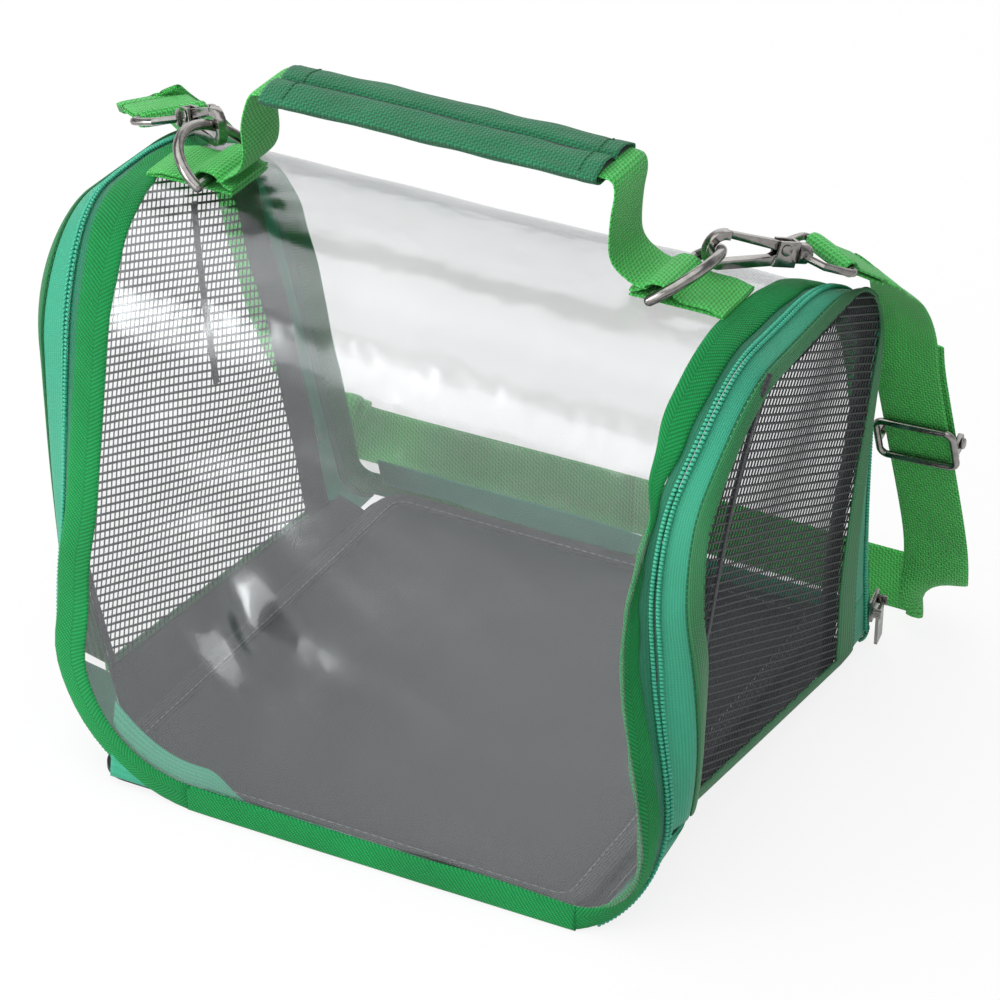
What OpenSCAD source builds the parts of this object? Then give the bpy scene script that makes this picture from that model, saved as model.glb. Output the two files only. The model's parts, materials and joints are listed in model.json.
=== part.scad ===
// Small soft-sided carrier for a pet bird: a clear cover over a padded floor,
// two zipped mesh end doors, a padded carrying handle and a clip-on shoulder strap.
// X runs to the right, Y to the back and Z up. The origin is on the floor, under
// the middle of the cover.

/* [Cover] */
// Half of the cover's width, between the two arch bindings
cover_half_w = 107; // [90:1:125]
// Distance from the origin to the front of the base
front_d = 112; // [100:1:125]
// Distance from the origin to the back of the base
back_d = 114; // [104:1:125]
// Height of the ridge
ridge_h = 201; // [190:1:212]
// Radius of the roof's front bend
nose_r = 46; // [38:1:52]
// Distance from the origin to the centre of the front bend
nose_d = 45; // [40:1:50]
// Radius of the roof's long back bend
tail_r = 113; // [100:1:120]
// Distance from the origin to the centre of the back bend
tail_d = 34; // [30:1:38]
// Thickness of the clear sheet
cover_t = 0.5; // [0.3:0.1:1]
// Radius of the sheet's lower front corners
front_corner_r = 15; // [8:1:20]
// Radius of the sheet's lower back corners
back_corner_r = 6; // [4:1:12]

/* [Binding] */
// Width of the herringbone binding tape
binding_w = 10; // [8:0.5:12]
// Thickness of the folded binding
binding_t = 1.8; // [1.2:0.1:2.4]
// Share of the way to the door over which the arch binding leans
binding_lean = 0.28; // [0.22:0.01:0.32]
// How far the arch binding stands out sideways
binding_out = 3; // [1:0.5:4]
// Height of the mint seam tape behind the sheet's lower edges
seam_tape_h = 14; // [12:0.5:18]
// Thickness of a zip or seam tape
tape_t = 0.8; // [0.5:0.1:1.2]

/* [Doors] */
// Foot of the right door's front edge: distance to the right
right_sill_front_x = 115; // [112:1:119]
// Foot of the right door's front edge: distance to the front
right_sill_front_d = 72; // [64:1:78]
// Foot of the right door's front edge: height
right_sill_front_z = 33; // [20:1:38]
// Foot of the left door's front edge: distance to the left
left_sill_front_x = 113; // [108:1:118]
// Foot of the left door's front edge: distance to the front
left_sill_front_d = 66; // [60:1:76]
// Foot of the left door's front edge: height
left_sill_front_z = 16; // [10:1:30]
// Foot of both doors' back edge: distance to the side
sill_back_x = 110; // [108:1:114]
// Foot of both doors' back edge: distance to the back
sill_back_d = 87; // [80:1:92]
// Foot of both doors' back edge: height
sill_back_z = 6; // [5:0.5:9]
// Drop from the ridge to the top of the doors
door_drop = 12; // [9:1:16]
// How far out the top of the right door lies
right_door_top_x = 133; // [128:1:136]
// How far out the top of the left door lies
left_door_top_x = 132; // [128:1:135]
// Radius of a door's front bend
door_nose_r = 36; // [30:1:40]
// Distance from the origin to the centre of the door's front bend
door_nose_d = 47; // [44:1:52]
// Radius of a door's back bend
door_tail_r = 46; // [40:1:54]
// Distance from the origin to the centre of the door's back bend
door_tail_d = 10; // [6:1:14]
// Width of the thin binding round the mesh
door_binding_w = 3.5; // [2.5:0.5:5]
// Thickness of the thin binding
door_binding_t = 1.2; // [0.8:0.1:1.6]
// Spacing of the modelled mesh strands
net_pitch = 15; // [14:0.5:20]
// Width of a modelled mesh strand
net_strand = 1.6; // [1:0.1:2.4]
// Thickness of the mesh
net_t = 0.7; // [0.4:0.1:1]
// Width of the grey lining strip along the back edge of the mesh
lining_w = 17; // [10:1:22]
// Width of the same lining strip at the front edge
lining_front_w = 5; // [4:0.5:8]
// Thickness of the lining strip
lining_t = 0.6; // [0.4:0.1:1]

/* [Zips] */
// Where the body's coil row lies between binding and door, as a share
coil_at = 0.12; // [0.1:0.01:0.14]
// Width of one coil row in the same share
coil_share = 0.12; // [0.1:0.01:0.13]
// Gap between the two coil rows in the same share
coil_gap = 0.045; // [0.04:0.005:0.06]
// Height of a coil row over its tape
coil_h = 1.4; // [1:0.1:2]
// Length of a zip slider
slider_l = 10; // [8:0.5:12]
// Width of a zip slider
slider_w = 8; // [7:0.5:9]
// Thickness of the slider's plate
slider_t = 1.4; // [1:0.1:2]
// Length of the pull tab
pull_l = 17; // [12:1:19]
// Width of the pull tab
pull_w = 6; // [4:0.5:8]
// Height of the parked sliders over the foot of the doors
slider_rest = 16; // [14:1:18]

/* [Base] */
// Half of the base's width
base_half_w = 98; // [90:1:102]
// Radius of the base's corners in plan
base_corner_r = 12; // [6:1:20]
// Thickness of the bottom fabric
fabric_t = 1; // [0.6:0.1:1.5]
// Thickness of the stiff board in the floor
board_t = 2; // [1.5:0.1:3]
// Thickness of the floor pad
pad_t = 2.2; // [1.5:0.1:4]
// Width of the floor pad's edge tape
pad_tape_w = 8; // [5:0.5:12]
// How far the edge tape stands over the pad
pad_tape_rise = 0.5; // [0.2:0.1:1]

/* [Webbing] */
// Width of the webbing
web_w = 25; // [20:1:28]
// Thickness of the webbing
web_t = 1.5; // [1.2:0.1:1.8]
// Distance from the origin forward to the webbing's middle line
web_d = 30; // [27:1:34]
// Half distance between the two seams beside the handle
seam_half = 72; // [70:1:74]
// Rounding of the raised loop round a ring's bar
loop_slope = 5; // [4:0.5:7]

/* [Handle] */
// Half length of the padded grip
grip_half = 62; // [50:1:66]
// Width of the padded grip
grip_w = 30; // [29:0.5:34]
// Height of the padded grip
grip_h = 7.5; // [7:0.5:12]
// Wall of the grip's sleeve under the valley
grip_wall = 0.9; // [0.6:0.1:1]
// Depth of the valley along the grip's top
grip_valley = 1; // [0.5:0.25:1.25]
// Height of the handle's webbing over the ridge
handle_h = 40; // [37:1:55]
// Half distance between the feet of the handle
foot_half = 65; // [62:1:67]
// How far the handle's legs bow out past the grip
leg_bow = 10; // [7:0.5:12]
// Radius of the webbing's bends at the top of the legs
leg_bend_r = 7; // [5:0.5:9]

/* [Rings and hooks] */
// Distance from the origin to a ring's bar
ring_x = 84; // [82:0.5:88]
// Radius of a ring's bow, to the middle of its wire
ring_r = 18; // [16:0.5:19]
// Wire radius of a ring
ring_wire_r = 1.9; // [1.5:0.1:2.2]
// Tilt of the rings over the ridge
ring_tilt = 36; // [32:1:40]
// Direction of the right hook, from sideways to backwards
right_hook_turn = 55; // [48:1:62]
// Droop of the right hook
right_hook_droop = 15; // [10:1:20]
// Direction of the left hook, from sideways to backwards
left_hook_turn = 38; // [34:1:46]
// Droop of the left hook
left_hook_droop = 18; // [15:1:20]
// Length of the hook from the ring's wire to its shoulder
hook_l = 30; // [26:1:34]
// Outer radius of the hook's eye
hook_eye_r = 6.8; // [6.6:0.1:7.2]
// Width of the hook's bar
hook_bar = 3; // [2.4:0.1:3.4]
// Thickness of the hook's bar
hook_t = 3.2; // [2.6:0.1:4]
// Thickness of the hook's forked shoulder
fork_t = 4.6; // [4:0.1:6]
// Thickness of the gate lever
gate_t = 2; // [1.4:0.1:2.4]
// Radius of the gate's rivet
rivet_r = 1.2; // [0.8:0.1:1.4]
// Radius of the swivel stem
stem_r = 1.8; // [1.4:0.1:2.2]
// Outer radius of the swivel collar
collar_r = 3.6; // [3.2:0.1:4.2]
// Length of the swivel collar
collar_l = 4; // [3:0.2:5]
// Length of the swivel's webbing loop
eyelet_l = 13; // [11:0.5:16]
// Wire radius of the webbing loop
eyelet_wire_r = 1.4; // [1.1:0.1:1.8]
// Length of the strap's sewn end
strap_end_l = 16; // [14:1:20]
// Droop of the strap's right sewn end
right_end_droop = 30; // [26:1:34]
// Droop of the strap's left sewn end
left_end_droop = 9; // [6:1:12]

/* [Strap] */
// Gap between the strap and the back of the cover
strap_gap = 7; // [6.5:0.5:10]
// Distance of the right strap leg from the origin, at its top
strap_right_x = 127; // [125:1:130]
// How far the right strap leg leans out towards the floor
strap_right_lean = 6; // [0:1:8]
// Distance of the left strap leg from the origin where it bows out most
strap_left_x = 138; // [134:1:146]
// Distance of the strap on the floor behind the base
strap_floor_d = 132; // [130:1:138]
// Height of the adjuster on the strap's right leg
adjuster_z = 99; // [90:1:106]
// Outer width of the adjuster
adjuster_w = 32; // [30:0.5:34]
// Length of the adjuster along the strap
adjuster_l = 19; // [17:0.5:24]
// Wire radius of the adjuster
adjuster_wire_r = 1.3; // [1:0.1:1.6]

/* [Clearances] */
// Gap between sewn pieces that lie on each other
sewn_gap = 0.1; // [0.05:0.05:0.2]
// Gap between soft pieces on different moving bodies
soft_gap = 0.4; // [0.3:0.1:0.8]
// Radial gap of a turning metal pin
pin_gap = 0.08; // [0.05:0.01:0.1]
// Gap between metal pieces that pass each other
metal_gap = 0.3; // [0.2:0.05:0.5]
// Play between a ring's wire and the hook's eye
hook_play = 1.2; // [1:0.1:1.3]
// Gap between a strap end that lifts with its ring and the rest of the strap
lift_gap = 3.2; // [2:0.1:4]
// Height of the coil rows over their tape
coil_seat = 0.5; // [0.4:0.05:0.6]

/* [Hidden] */
RIGHT = 0;
LEFT = 1;
// Counts of stations along one arch: straight edge, front bend, back bend, corner
LINE_N = 6;
NOSE_N = 9;
TAIL_N = 11;
FOOT_N = 5;
WIRE_SIDES = 8;
BEND_FN = 32;
PIN_FN = 48;
WIRE_FN = 24;
clear_colour = [0.85, 0.9, 0.92, 0.35];
binding_colour = "#0F9A4A";
mint_colour = "#3DBE93";
coil_colour = "#1F9C7C";
door_binding_colour = "#2F8A58";
web_colour = "#3DB84A";
grip_colour = "#1F8A5A";
grey_colour = "#55575C";
dark_colour = "#3A3C40";
metal_colour = "#8C8A88";

// Ways to work with lists of points
function unit(v) = v / norm(v);
function between(a, b, f) = a + (b - a) * f;
function shares(a, b, f) = [for (i = [0:len(a) - 1]) between(a[i], b[i], f)];
function part_of(list, from, to) = [for (i = [from:to]) list[i]];
function along(list, i) = unit(list[min(i + 1, len(list) - 1)] - list[max(i - 1, 0)]);
function normals(left, right) = [for (i = [0:len(left) - 1])
    unit(cross(right[i] - left[i], along(shares(left, right, 0.5), i)))];

// One arch as [y, z] stations: foot, front bend, back bend, foot
function arc(c, r, a0, a1, n) = [for (i = [0:n])
    let (a = between(a0, a1, i / n)) c + r * [cos(a), sin(a)]];
function touch_angle(p, c, r, side) =
    let (d = p - c) atan2(d[1], d[0]) + side * acos(r / norm(d));
function arch(front, back, nose, nose_rad, tail, tail_rad, out = 0) =
    let (af = touch_angle(front, nose, nose_rad, -1) + 360,
         ab = touch_angle(back, tail, tail_rad, 1),
         f = front + out * [cos(af), sin(af)],
         b = back + out * [cos(ab), sin(ab)],
         bends = concat(arc(nose, nose_rad + out, af, 90, NOSE_N),
                        arc(tail, tail_rad + out, 90, ab, TAIL_N)))
    concat([for (i = [0:LINE_N - 1]) between(f, bends[0], i / LINE_N)],
           bends,
           [for (i = [1:LINE_N]) between(bends[len(bends) - 1], b, i / LINE_N)]);

// The cover's profile
nose_c = [-nose_d, ridge_h - nose_r];
tail_c = [-tail_d, ridge_h - tail_r];
front_a = touch_angle([-front_d, 0], nose_c, nose_r, -1) + 360;
back_a = touch_angle([back_d, 0], tail_c, tail_r, 1);
function front_y(z) = -front_d - z * tan(front_a);
function back_y(z) = back_d - z * tan(back_a);
front_foot_z = binding_w + front_corner_r;
back_foot_z = binding_w + back_corner_r;
function cover_arch(out = 0) = arch([front_y(front_foot_z), front_foot_z],
    [back_y(back_foot_z), back_foot_z], nose_c, nose_r, tail_c, tail_r, out);
LAST = 2 * LINE_N + NOSE_N + TAIL_N + 1;

// A door's plane and profile, on the right or mirrored to the left
function sill_front(side) = side == RIGHT ?
    [right_sill_front_x, -right_sill_front_d, right_sill_front_z] :
    [left_sill_front_x, -left_sill_front_d, left_sill_front_z];
sill_back = [sill_back_x, sill_back_d, sill_back_z];
function door_top(side) =
    [side == RIGHT ? right_door_top_x : left_door_top_x, door_tail_d, ridge_h - door_drop];
function door_v(side) = let (u = unit(sill_back - sill_front(side)), w = door_top(side) - sill_back)
    unit(w - u * (w * u));
function door_n(side) = cross(unit(sill_back - sill_front(side)), door_v(side));
function on_door(side, p) = let (n = door_n(side), o = sill_back)
    [o[0] - (n[1] * (p[0] - o[1]) + n[2] * (p[1] - o[2])) / n[0], p[0], p[1]];
function door_edge(side) = let (s = sill_front(side))
    [for (p = arch([s[1], s[2]], [sill_back[1], sill_back[2]],
                   [-door_nose_d, ridge_h - door_drop - door_nose_r], door_nose_r,
                   [door_tail_d, ridge_h - door_drop - door_tail_r], door_tail_r))
        on_door(side, p)];
function flat(side, p) = let (d = p - sill_front(side))
    [d * unit(sill_back - sill_front(side)), d * door_v(side)];
function lifted(side, p, h) = sill_front(side) + unit(sill_back - sill_front(side)) * p[0]
    + door_v(side) * p[1] + door_n(side) * h;
function door_flat(side) = [for (p = door_edge(side)) flat(side, p)];
function turned_in(pts, d) = [for (i = [0:len(pts) - 1])
    let (n = len(pts), a = pts[(i + n - 1) % n], b = pts[(i + 1) % n],
         e1 = unit(pts[i] - a), e2 = unit(b - pts[i]),
         m1 = [e1[1], -e1[0]], m2 = [e2[1], -e2[0]], m = unit(m1 + m2))
    pts[i] + m * d / max(0.4, m * m1)];

// The stations of the cover's edge, the binding's outer edge and the door's edge,
// with the lower corners curled in under the arch
function cover_edge() = concat(
    [for (i = [0:FOOT_N - 1]) let (a = 90 * (1 - i / FOOT_N), z = front_foot_z - front_corner_r * sin(a))
        [cover_half_w - front_corner_r * (1 - cos(a)), front_y(z), z]],
    [for (p = cover_arch()) [cover_half_w, p[0], p[1]]],
    [for (i = [1:FOOT_N]) let (a = 90 * i / FOOT_N, z = back_foot_z - back_corner_r * sin(a))
        [cover_half_w - back_corner_r * (1 - cos(a)), back_y(z), z]]);
// Where the bands' outer edges are sewn under the base, in front and behind
base_out = 1.5;
base_back_in = 22;
base_front = [base_half_w + base_out, base_corner_r - front_d, tape_t + fabric_t];
base_back = [base_half_w + base_out, back_d - base_back_in, tape_t + fabric_t];
function door_stations(side) = let (e = door_edge(side)) concat(
    [for (i = [0:FOOT_N - 1]) between(e[0], base_front, sin(90 * (1 - i / FOOT_N)))],
    e,
    [for (i = [1:FOOT_N]) between(e[len(e) - 1], base_back, sin(90 * i / FOOT_N))]);
FIRST_MAIN = FOOT_N;
LAST_MAIN = FOOT_N + LAST;
LAST_ALL = LAST_MAIN + FOOT_N;
// The zip stays sewn to the body below this station, where its slider is parked
DOOR_END = LAST_MAIN - 1;
DOOR_TRIM = 0.04;
function outer_of(a, b) = a + (b - a) * binding_lean + [binding_out, 0, 0];
function binding_edge(side) = let (a = cover_edge(), b = door_stations(side),
        f0 = outer_of(a[FIRST_MAIN], b[FIRST_MAIN]) - a[FIRST_MAIN],
        f1 = outer_of(a[LAST_MAIN], b[LAST_MAIN]) - a[LAST_MAIN],
        fall = [0, 0, binding_w - hem_drop])
    [for (i = [0:LAST_ALL])
        i < FIRST_MAIN ? let (t = 90 * (1 - i / FOOT_N)) a[i] + f0 * cos(t) - fall * sin(t)
        : i > LAST_MAIN ? let (t = 90 * (i - LAST_MAIN) / FOOT_N) a[i] + f1 * cos(t) - fall * sin(t)
        : outer_of(a[i], b[i])];
function band(side, f) = shares(binding_edge(side), door_stations(side), f);
function band_normals(side) = normals(binding_edge(side), door_stations(side));
tape_start = 0.1;
body_coil_end = coil_at + coil_share;
door_coil_start = body_coil_end + coil_gap;
door_coil_end = door_coil_start + coil_share;
tape_end = 0.97;

// A solid swept through rings of points, each ring clockwise as seen along the sweep
module swept(rings, closed = false) {
    n = len(rings);
    k = len(rings[0]);
    steps = closed ? n : n - 1;
    sides = [for (i = [0:steps - 1], j = [0:k - 1])
        let (a = i * k + j, b = i * k + (j + 1) % k,
             c = ((i + 1) % n) * k + (j + 1) % k, d = ((i + 1) % n) * k + j)
        each [[a, d, c], [a, c, b]]];
    caps = closed ? [] : concat(
        [for (j = [1:k - 2]) [0, j, j + 1]],
        [for (j = [1:k - 2]) [(n - 1) * k, (n - 1) * k + j + 1, (n - 1) * k + j]]);
    polyhedron(points = [for (r = rings) each r], faces = concat(sides, caps));
}

// A flat ribbon between two edges, its outer face raised by h and t thick
module ribbon(left, right, normal, t, h = 0) {
    swept([for (i = [0:len(left) - 1]) [
        left[i] + normal[i] * h,
        right[i] + normal[i] * h,
        right[i] + normal[i] * (h - t),
        left[i] + normal[i] * (h - t)]]);
}

// A strip of an arch's band between two shares, over a run of stations
function trimmed(list, from, to, trim) = concat([between(list[from], list[from + 1], trim)],
    part_of(list, from + 1, to));
module band_strip(side, f0, f1, t, h, from, to, trim = 0) {
    // The trim leaves the joined ends of two runs apart
    ribbon(trimmed(band(side, f0), from, to, trim), trimmed(band(side, f1), from, to, trim),
           part_of(band_normals(side), from, to), t, h);
}

// A round wire through a list of points, all in one plane with the given normal
module wire(pts, normal, r, sides = WIRE_SIDES) {
    swept([for (i = [0:len(pts) - 1])
        let (t = along(pts, i), s = unit(cross(t, normal)))
        [for (j = [0:sides - 1]) let (a = -360 * j / sides) pts[i] + r * (s * cos(a) + normal * sin(a))]]);
}

module on_side(side) {
    if (side == LEFT) mirror([1, 0, 0]) children();
    else children();
}
// The children's x, y and z turned to three directions and moved to a point
module in_frame(x, y, z, o) {
    multmatrix(concat([for (i = [0:2]) [x[i], y[i], z[i], o[i]]], [[0, 0, 0, 1]])) children();
}

// Cover
module clear_cover() {
    color(clear_colour) {
        e = part_of(cover_edge(), 0, LAST_ALL);
        mirrored = [for (p = e) [-p[0], p[1], p[2]]];
        inner = [for (p = e) p - [binding_t / 2, 0, 0]];
        inner_left = [for (p = mirrored) p + [binding_t / 2, 0, 0]];
        ribbon(inner_left, inner, normals(inner_left, inner), cover_t);
    }
}
module arch_binding(side) {
    color(binding_colour) on_side(side) {
        a = cover_edge();
        f = binding_edge(side);
        ribbon(a, f, normals(a, f), binding_t, binding_t / 2);
    }
}

// Binding across a lower edge of the sheet, between the two arch bindings
hem_drop = 3 * sewn_gap;
module hem_binding(y_of, out, half) {
    top = y_of(binding_w);
    foot = y_of(0);
    rotate([90, 0, 90])
        translate([0, 0, -half])
            linear_extrude(height = 2 * half)
                polygon([[foot + out * binding_t / 2, 0], [top + out * binding_t / 2, binding_w - hem_drop],
                         [top - out * binding_t / 2, binding_w - hem_drop], [foot - out * binding_t / 2, 0]]);
}
module front_hem_binding() {
    color(binding_colour)
        hem_binding(function (z) front_y(z), -1, cover_half_w - front_corner_r - hem_drop);
}
module back_hem_binding() {
    color(binding_colour)
        hem_binding(function (z) back_y(z), 1, cover_half_w - back_corner_r - hem_drop);
}
module seam_tape(y_of, into, half) {
    low = fabric_t + board_t;
    gap = binding_t / 2 + sewn_gap;
    rotate([90, 0, 90])
        translate([0, 0, -half])
            linear_extrude(height = 2 * half)
                polygon([[y_of(low) + into * gap, low], [y_of(seam_tape_h) + into * gap, seam_tape_h],
                         [y_of(seam_tape_h) + into * (gap + tape_t), seam_tape_h],
                         [y_of(low) + into * (gap + tape_t), low]]);
}
module front_seam_tape() {
    color(mint_colour) seam_tape(function (z) front_y(z), 1, base_half_w - base_corner_r);
}
module back_seam_tape() {
    color(mint_colour) seam_tape(function (z) back_y(z), -1, base_half_w - base_corner_r);
}

// Zips
TAPE_FIRST = 2;
COIL_FIRST = 3;
COIL_LAST = LAST_ALL - 3;
module body_zip_tape(side) {
    color(mint_colour) on_side(side) {
        band_strip(side, tape_start, body_coil_end, tape_t, 0, TAPE_FIRST, LAST_ALL);
        band_strip(side, door_coil_start, tape_end, tape_t, 0, TAPE_FIRST, FIRST_MAIN - 1);
        band_strip(side, door_coil_start, tape_end, tape_t, 0, DOOR_END, LAST_ALL, DOOR_TRIM);
    }
}
module body_zip_coil(side) {
    color(coil_colour) on_side(side) {
        band_strip(side, coil_at, body_coil_end, coil_h, coil_h + coil_seat, COIL_FIRST, COIL_LAST);
        band_strip(side, door_coil_start, door_coil_end, coil_h, coil_h + coil_seat, DOOR_END, COIL_LAST,
                   DOOR_TRIM);
    }
}
module door_zip_tape(side) {
    color(mint_colour) on_side(side)
        band_strip(side, door_coil_start, tape_end, tape_t, 0, FIRST_MAIN, DOOR_END);
}
module door_zip_coil(side) {
    color(coil_colour) on_side(side)
        band_strip(side, door_coil_start, door_coil_end, coil_h, coil_h + coil_seat, FIRST_MAIN, DOOR_END);
}

// Doors, drawn flat and laid onto their leaning plane
module laid_on_door(side, h) {
    o = sill_front(side);
    on_side(side)
        in_frame(unit(sill_back - o), door_v(side), door_n(side), o)
            translate([0, 0, h])
                children();
}
net_in = 1.5;
module door_mesh(side) {
    edge = turned_in(door_flat(side), net_in);
    hem = turned_in(door_flat(side), net_in + door_binding_w);
    low = min([for (p = edge) min(p[0], p[1])]);
    high = max([for (p = edge) max(p[0], p[1])]);
    gap = net_pitch - net_strand;
    color(dark_colour)
        laid_on_door(side, -sewn_gap - net_t)
            linear_extrude(height = net_t)
                difference() {
                    polygon(edge);
                    intersection() {
                        polygon(hem);
                        for (x = [low:net_pitch:high], y = [low:net_pitch:high])
                            translate([x + net_strand, y + net_strand]) square(gap);
                    }
                }
}
module door_binding(side) {
    edge = door_flat(side);
    color(door_binding_colour)
        laid_on_door(side, 0)
            linear_extrude(height = door_binding_t)
                difference() {
                    polygon(edge);
                    polygon(turned_in(edge, door_binding_w));
                }
}
module door_lining(side) {
    pts = door_flat(side);
    n = len(pts);
    h = -2 * sewn_gap - net_t;
    near = turned_in(pts, net_in);
    share = [for (i = [0:n - 1]) let (s = i / (n - 1)) s * s * (3 - 2 * s)];
    width = [for (s = share) between(lining_front_w, lining_w, s)];
    inner = [for (i = [0:n - 2]) turned_in(pts, net_in + width[i])[i]];
    // The last stretch runs straight on to the line of the sill
    a = inner[n - 3];
    b = inner[n - 2];
    far = concat(inner, [b + (b - a) * (b[1] - net_in) / (a[1] - b[1])]);
    rise = [for (i = [0:n - 1]) door_n(side)];
    color(grey_colour) on_side(side)
        ribbon([for (p = far) lifted(side, p, h)], [for (p = near) lifted(side, p, h)], -rise,
               lining_t, lining_t);
}

// Zip sliders, parked low on the straight back stretch of each zip
function zip_at(side, z) = let (m = band(side, body_coil_end + coil_gap / 2),
        a = m[LAST_MAIN - LINE_N], b = m[LAST_MAIN]) between(a, b, (z - a[2]) / (b[2] - a[2]));
function zip_up(side) = let (m = band(side, 0.5)) unit(m[LAST_MAIN - LINE_N] - m[LAST_MAIN]);
function zip_across(side, z) = let (a = binding_edge(side), b = door_stations(side),
        f = (z - a[LAST_MAIN][2]) / (a[LAST_MAIN - LINE_N][2] - a[LAST_MAIN][2]),
        w = between(b[LAST_MAIN] - a[LAST_MAIN], b[LAST_MAIN - LINE_N] - a[LAST_MAIN - LINE_N], f),
        t = zip_up(side)) unit(w - t * (w * t));
slider_over = 0.9;
slider_lift = coil_h + coil_seat + slider_over;
bail_h = 1.6;
bail_l = 4;
bail_t = 1;
pull_pin_r = 0.6;
module at_slider(side) {
    z = sill_back_z + slider_rest;
    t = zip_up(side);
    w = zip_across(side, z + slider_l);
    on_side(side) in_frame(t, w, cross(t, w), zip_at(side, z)) children();
}
pull_pin_z = slider_lift + slider_t + bail_h;
module zip_slider(side) {
    bail_mid = pull_w / 2 + metal_gap + bail_t / 2;
    color(metal_colour) at_slider(side) difference() {
        union() {
            translate([-slider_l / 2, -slider_w / 2, slider_lift]) cube([slider_l, slider_w, slider_t]);
            for (s = [-1, 1])
                translate([-bail_l / 2, s * bail_mid - bail_t / 2, slider_lift + slider_t / 2])
                    cube([bail_l, bail_t, slider_t / 2 + 2 * bail_h]);
        }
        translate([0, 0, pull_pin_z])
            rotate([90, 0, 0])
                cylinder(h = slider_w + 2, r = pull_pin_r + pin_gap, center = true, $fn = PIN_FN);
    }
}
module zip_pull(side) {
    pin_l = pull_w + 2 * (metal_gap + bail_t);
    color(metal_colour) at_slider(side) {
        translate([0, 0, pull_pin_z]) {
            rotate([90, 0, 0]) cylinder(h = pin_l, r = pull_pin_r, center = true, $fn = PIN_FN);
            translate([-pull_l, -pull_w / 2, -pull_pin_r]) cube([pull_l, pull_w, 2 * pull_pin_r]);
        }
    }
}

// Base
module floor_plate(half, front, back, r, z, t) {
    translate([0, 0, z])
        linear_extrude(height = t)
            difference() {
                translate([-half, -front]) square([2 * half, front + back]);
                for (sx = [-1, 1], sy = [0, 1])
                    translate([sx * (half - r), sy == 0 ? r - front : back - r])
                        difference() {
                            translate([sx > 0 ? 0 : -r, sy > 0 ? 0 : -r]) square(r);
                            circle(r = r, $fn = BEND_FN);
                        }
            }
}
hem_in = binding_t / 2 + fabric_t * 0.4 + 2 * sewn_gap;
module base_fabric() {
    color(grey_colour)
        floor_plate(base_half_w, front_d - hem_in, back_d - hem_in, base_corner_r, 0, fabric_t);
}
// Cloth flap from the base up to a door's sill, folded along its diagonal
flap_t = fabric_t / 2;
flap_front_in = 4;
module side_flap(side) {
    low_x = base_half_w - flap_t;
    low_z = fabric_t + flap_t;
    drop = door_n(side) * (soft_gap + tape_t / 4) + door_v(side) * soft_gap;
    outer = [sill_front(side) - drop, sill_back - drop, [low_x, sill_back_d, low_z],
             [low_x, base_corner_r + flap_front_in - front_d, low_z]];
    out = unit(cross(outer[2] - outer[0], outer[1] - outer[3]));
    inner = [for (p = outer) p - out * flap_t];
    color(grey_colour) on_side(side)
        polyhedron(points = concat(outer, inner),
                   faces = [[0, 1, 2], [0, 2, 3], [4, 6, 5], [4, 7, 6],
                            [0, 4, 5, 1], [1, 5, 6, 2], [2, 6, 7, 3], [3, 7, 4, 0]]);
}
board_in = 4;
module base_board() {
    color(dark_colour)
        floor_plate(base_half_w - board_in, front_d - board_in, back_d - board_in, base_corner_r,
                    fabric_t, board_t);
}
pad_in = board_in + pad_tape_w;
module floor_pad() {
    color(grey_colour)
        floor_plate(base_half_w - pad_in, front_d - pad_in, back_d - pad_in, base_corner_r / 2,
                    fabric_t + board_t, pad_t);
}
module floor_edge_tape() {
    h = pad_t + pad_tape_rise;
    color(dark_colour) difference() {
        floor_plate(base_half_w - board_in, front_d - board_in, back_d - board_in, base_corner_r,
                    fabric_t + board_t, h);
        floor_plate(base_half_w - pad_in + sewn_gap, front_d - pad_in + sewn_gap, back_d - pad_in + sewn_gap,
                    base_corner_r / 2, fabric_t + board_t - 1, h + 2);
    }
}

// Webbing on the ridge: a flat layer, and a layer over it that holds the ring's bar
web_z = ridge_h + 0.3;
ring_z = web_z + web_t + soft_gap + ring_wire_r;
loop_z = ring_z + ring_wire_r + soft_gap;
loop_half = ring_wire_r + soft_gap + 0.6;
module ridge_webbing(side) {
    top = web_z + web_t + sewn_gap;
    inner = foot_half - 3;
    outer = cover_half_w - sewn_gap;
    color(web_colour) on_side(side)
        translate([0, -web_d + web_w / 2, 0])
            rotate([90, 0, 0])
                linear_extrude(height = web_w) {
                    translate([inner, web_z]) square([outer - inner, web_t]);
                    polygon([
                        [inner, top - sewn_gap], [inner, top + web_t], [seam_half, top + web_t],
                        [ring_x - loop_half - 1, loop_z + web_t], [ring_x + loop_half + 1, loop_z + web_t],
                        [ring_x + loop_half + loop_slope + 2, top + web_t], [outer, top + web_t],
                        [outer, top - sewn_gap], [ring_x + loop_half + loop_slope, top - sewn_gap],
                        [ring_x + loop_half, loop_z], [ring_x - loop_half, loop_z],
                        [seam_half + 2, top - sewn_gap]]);
                }
}

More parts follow.
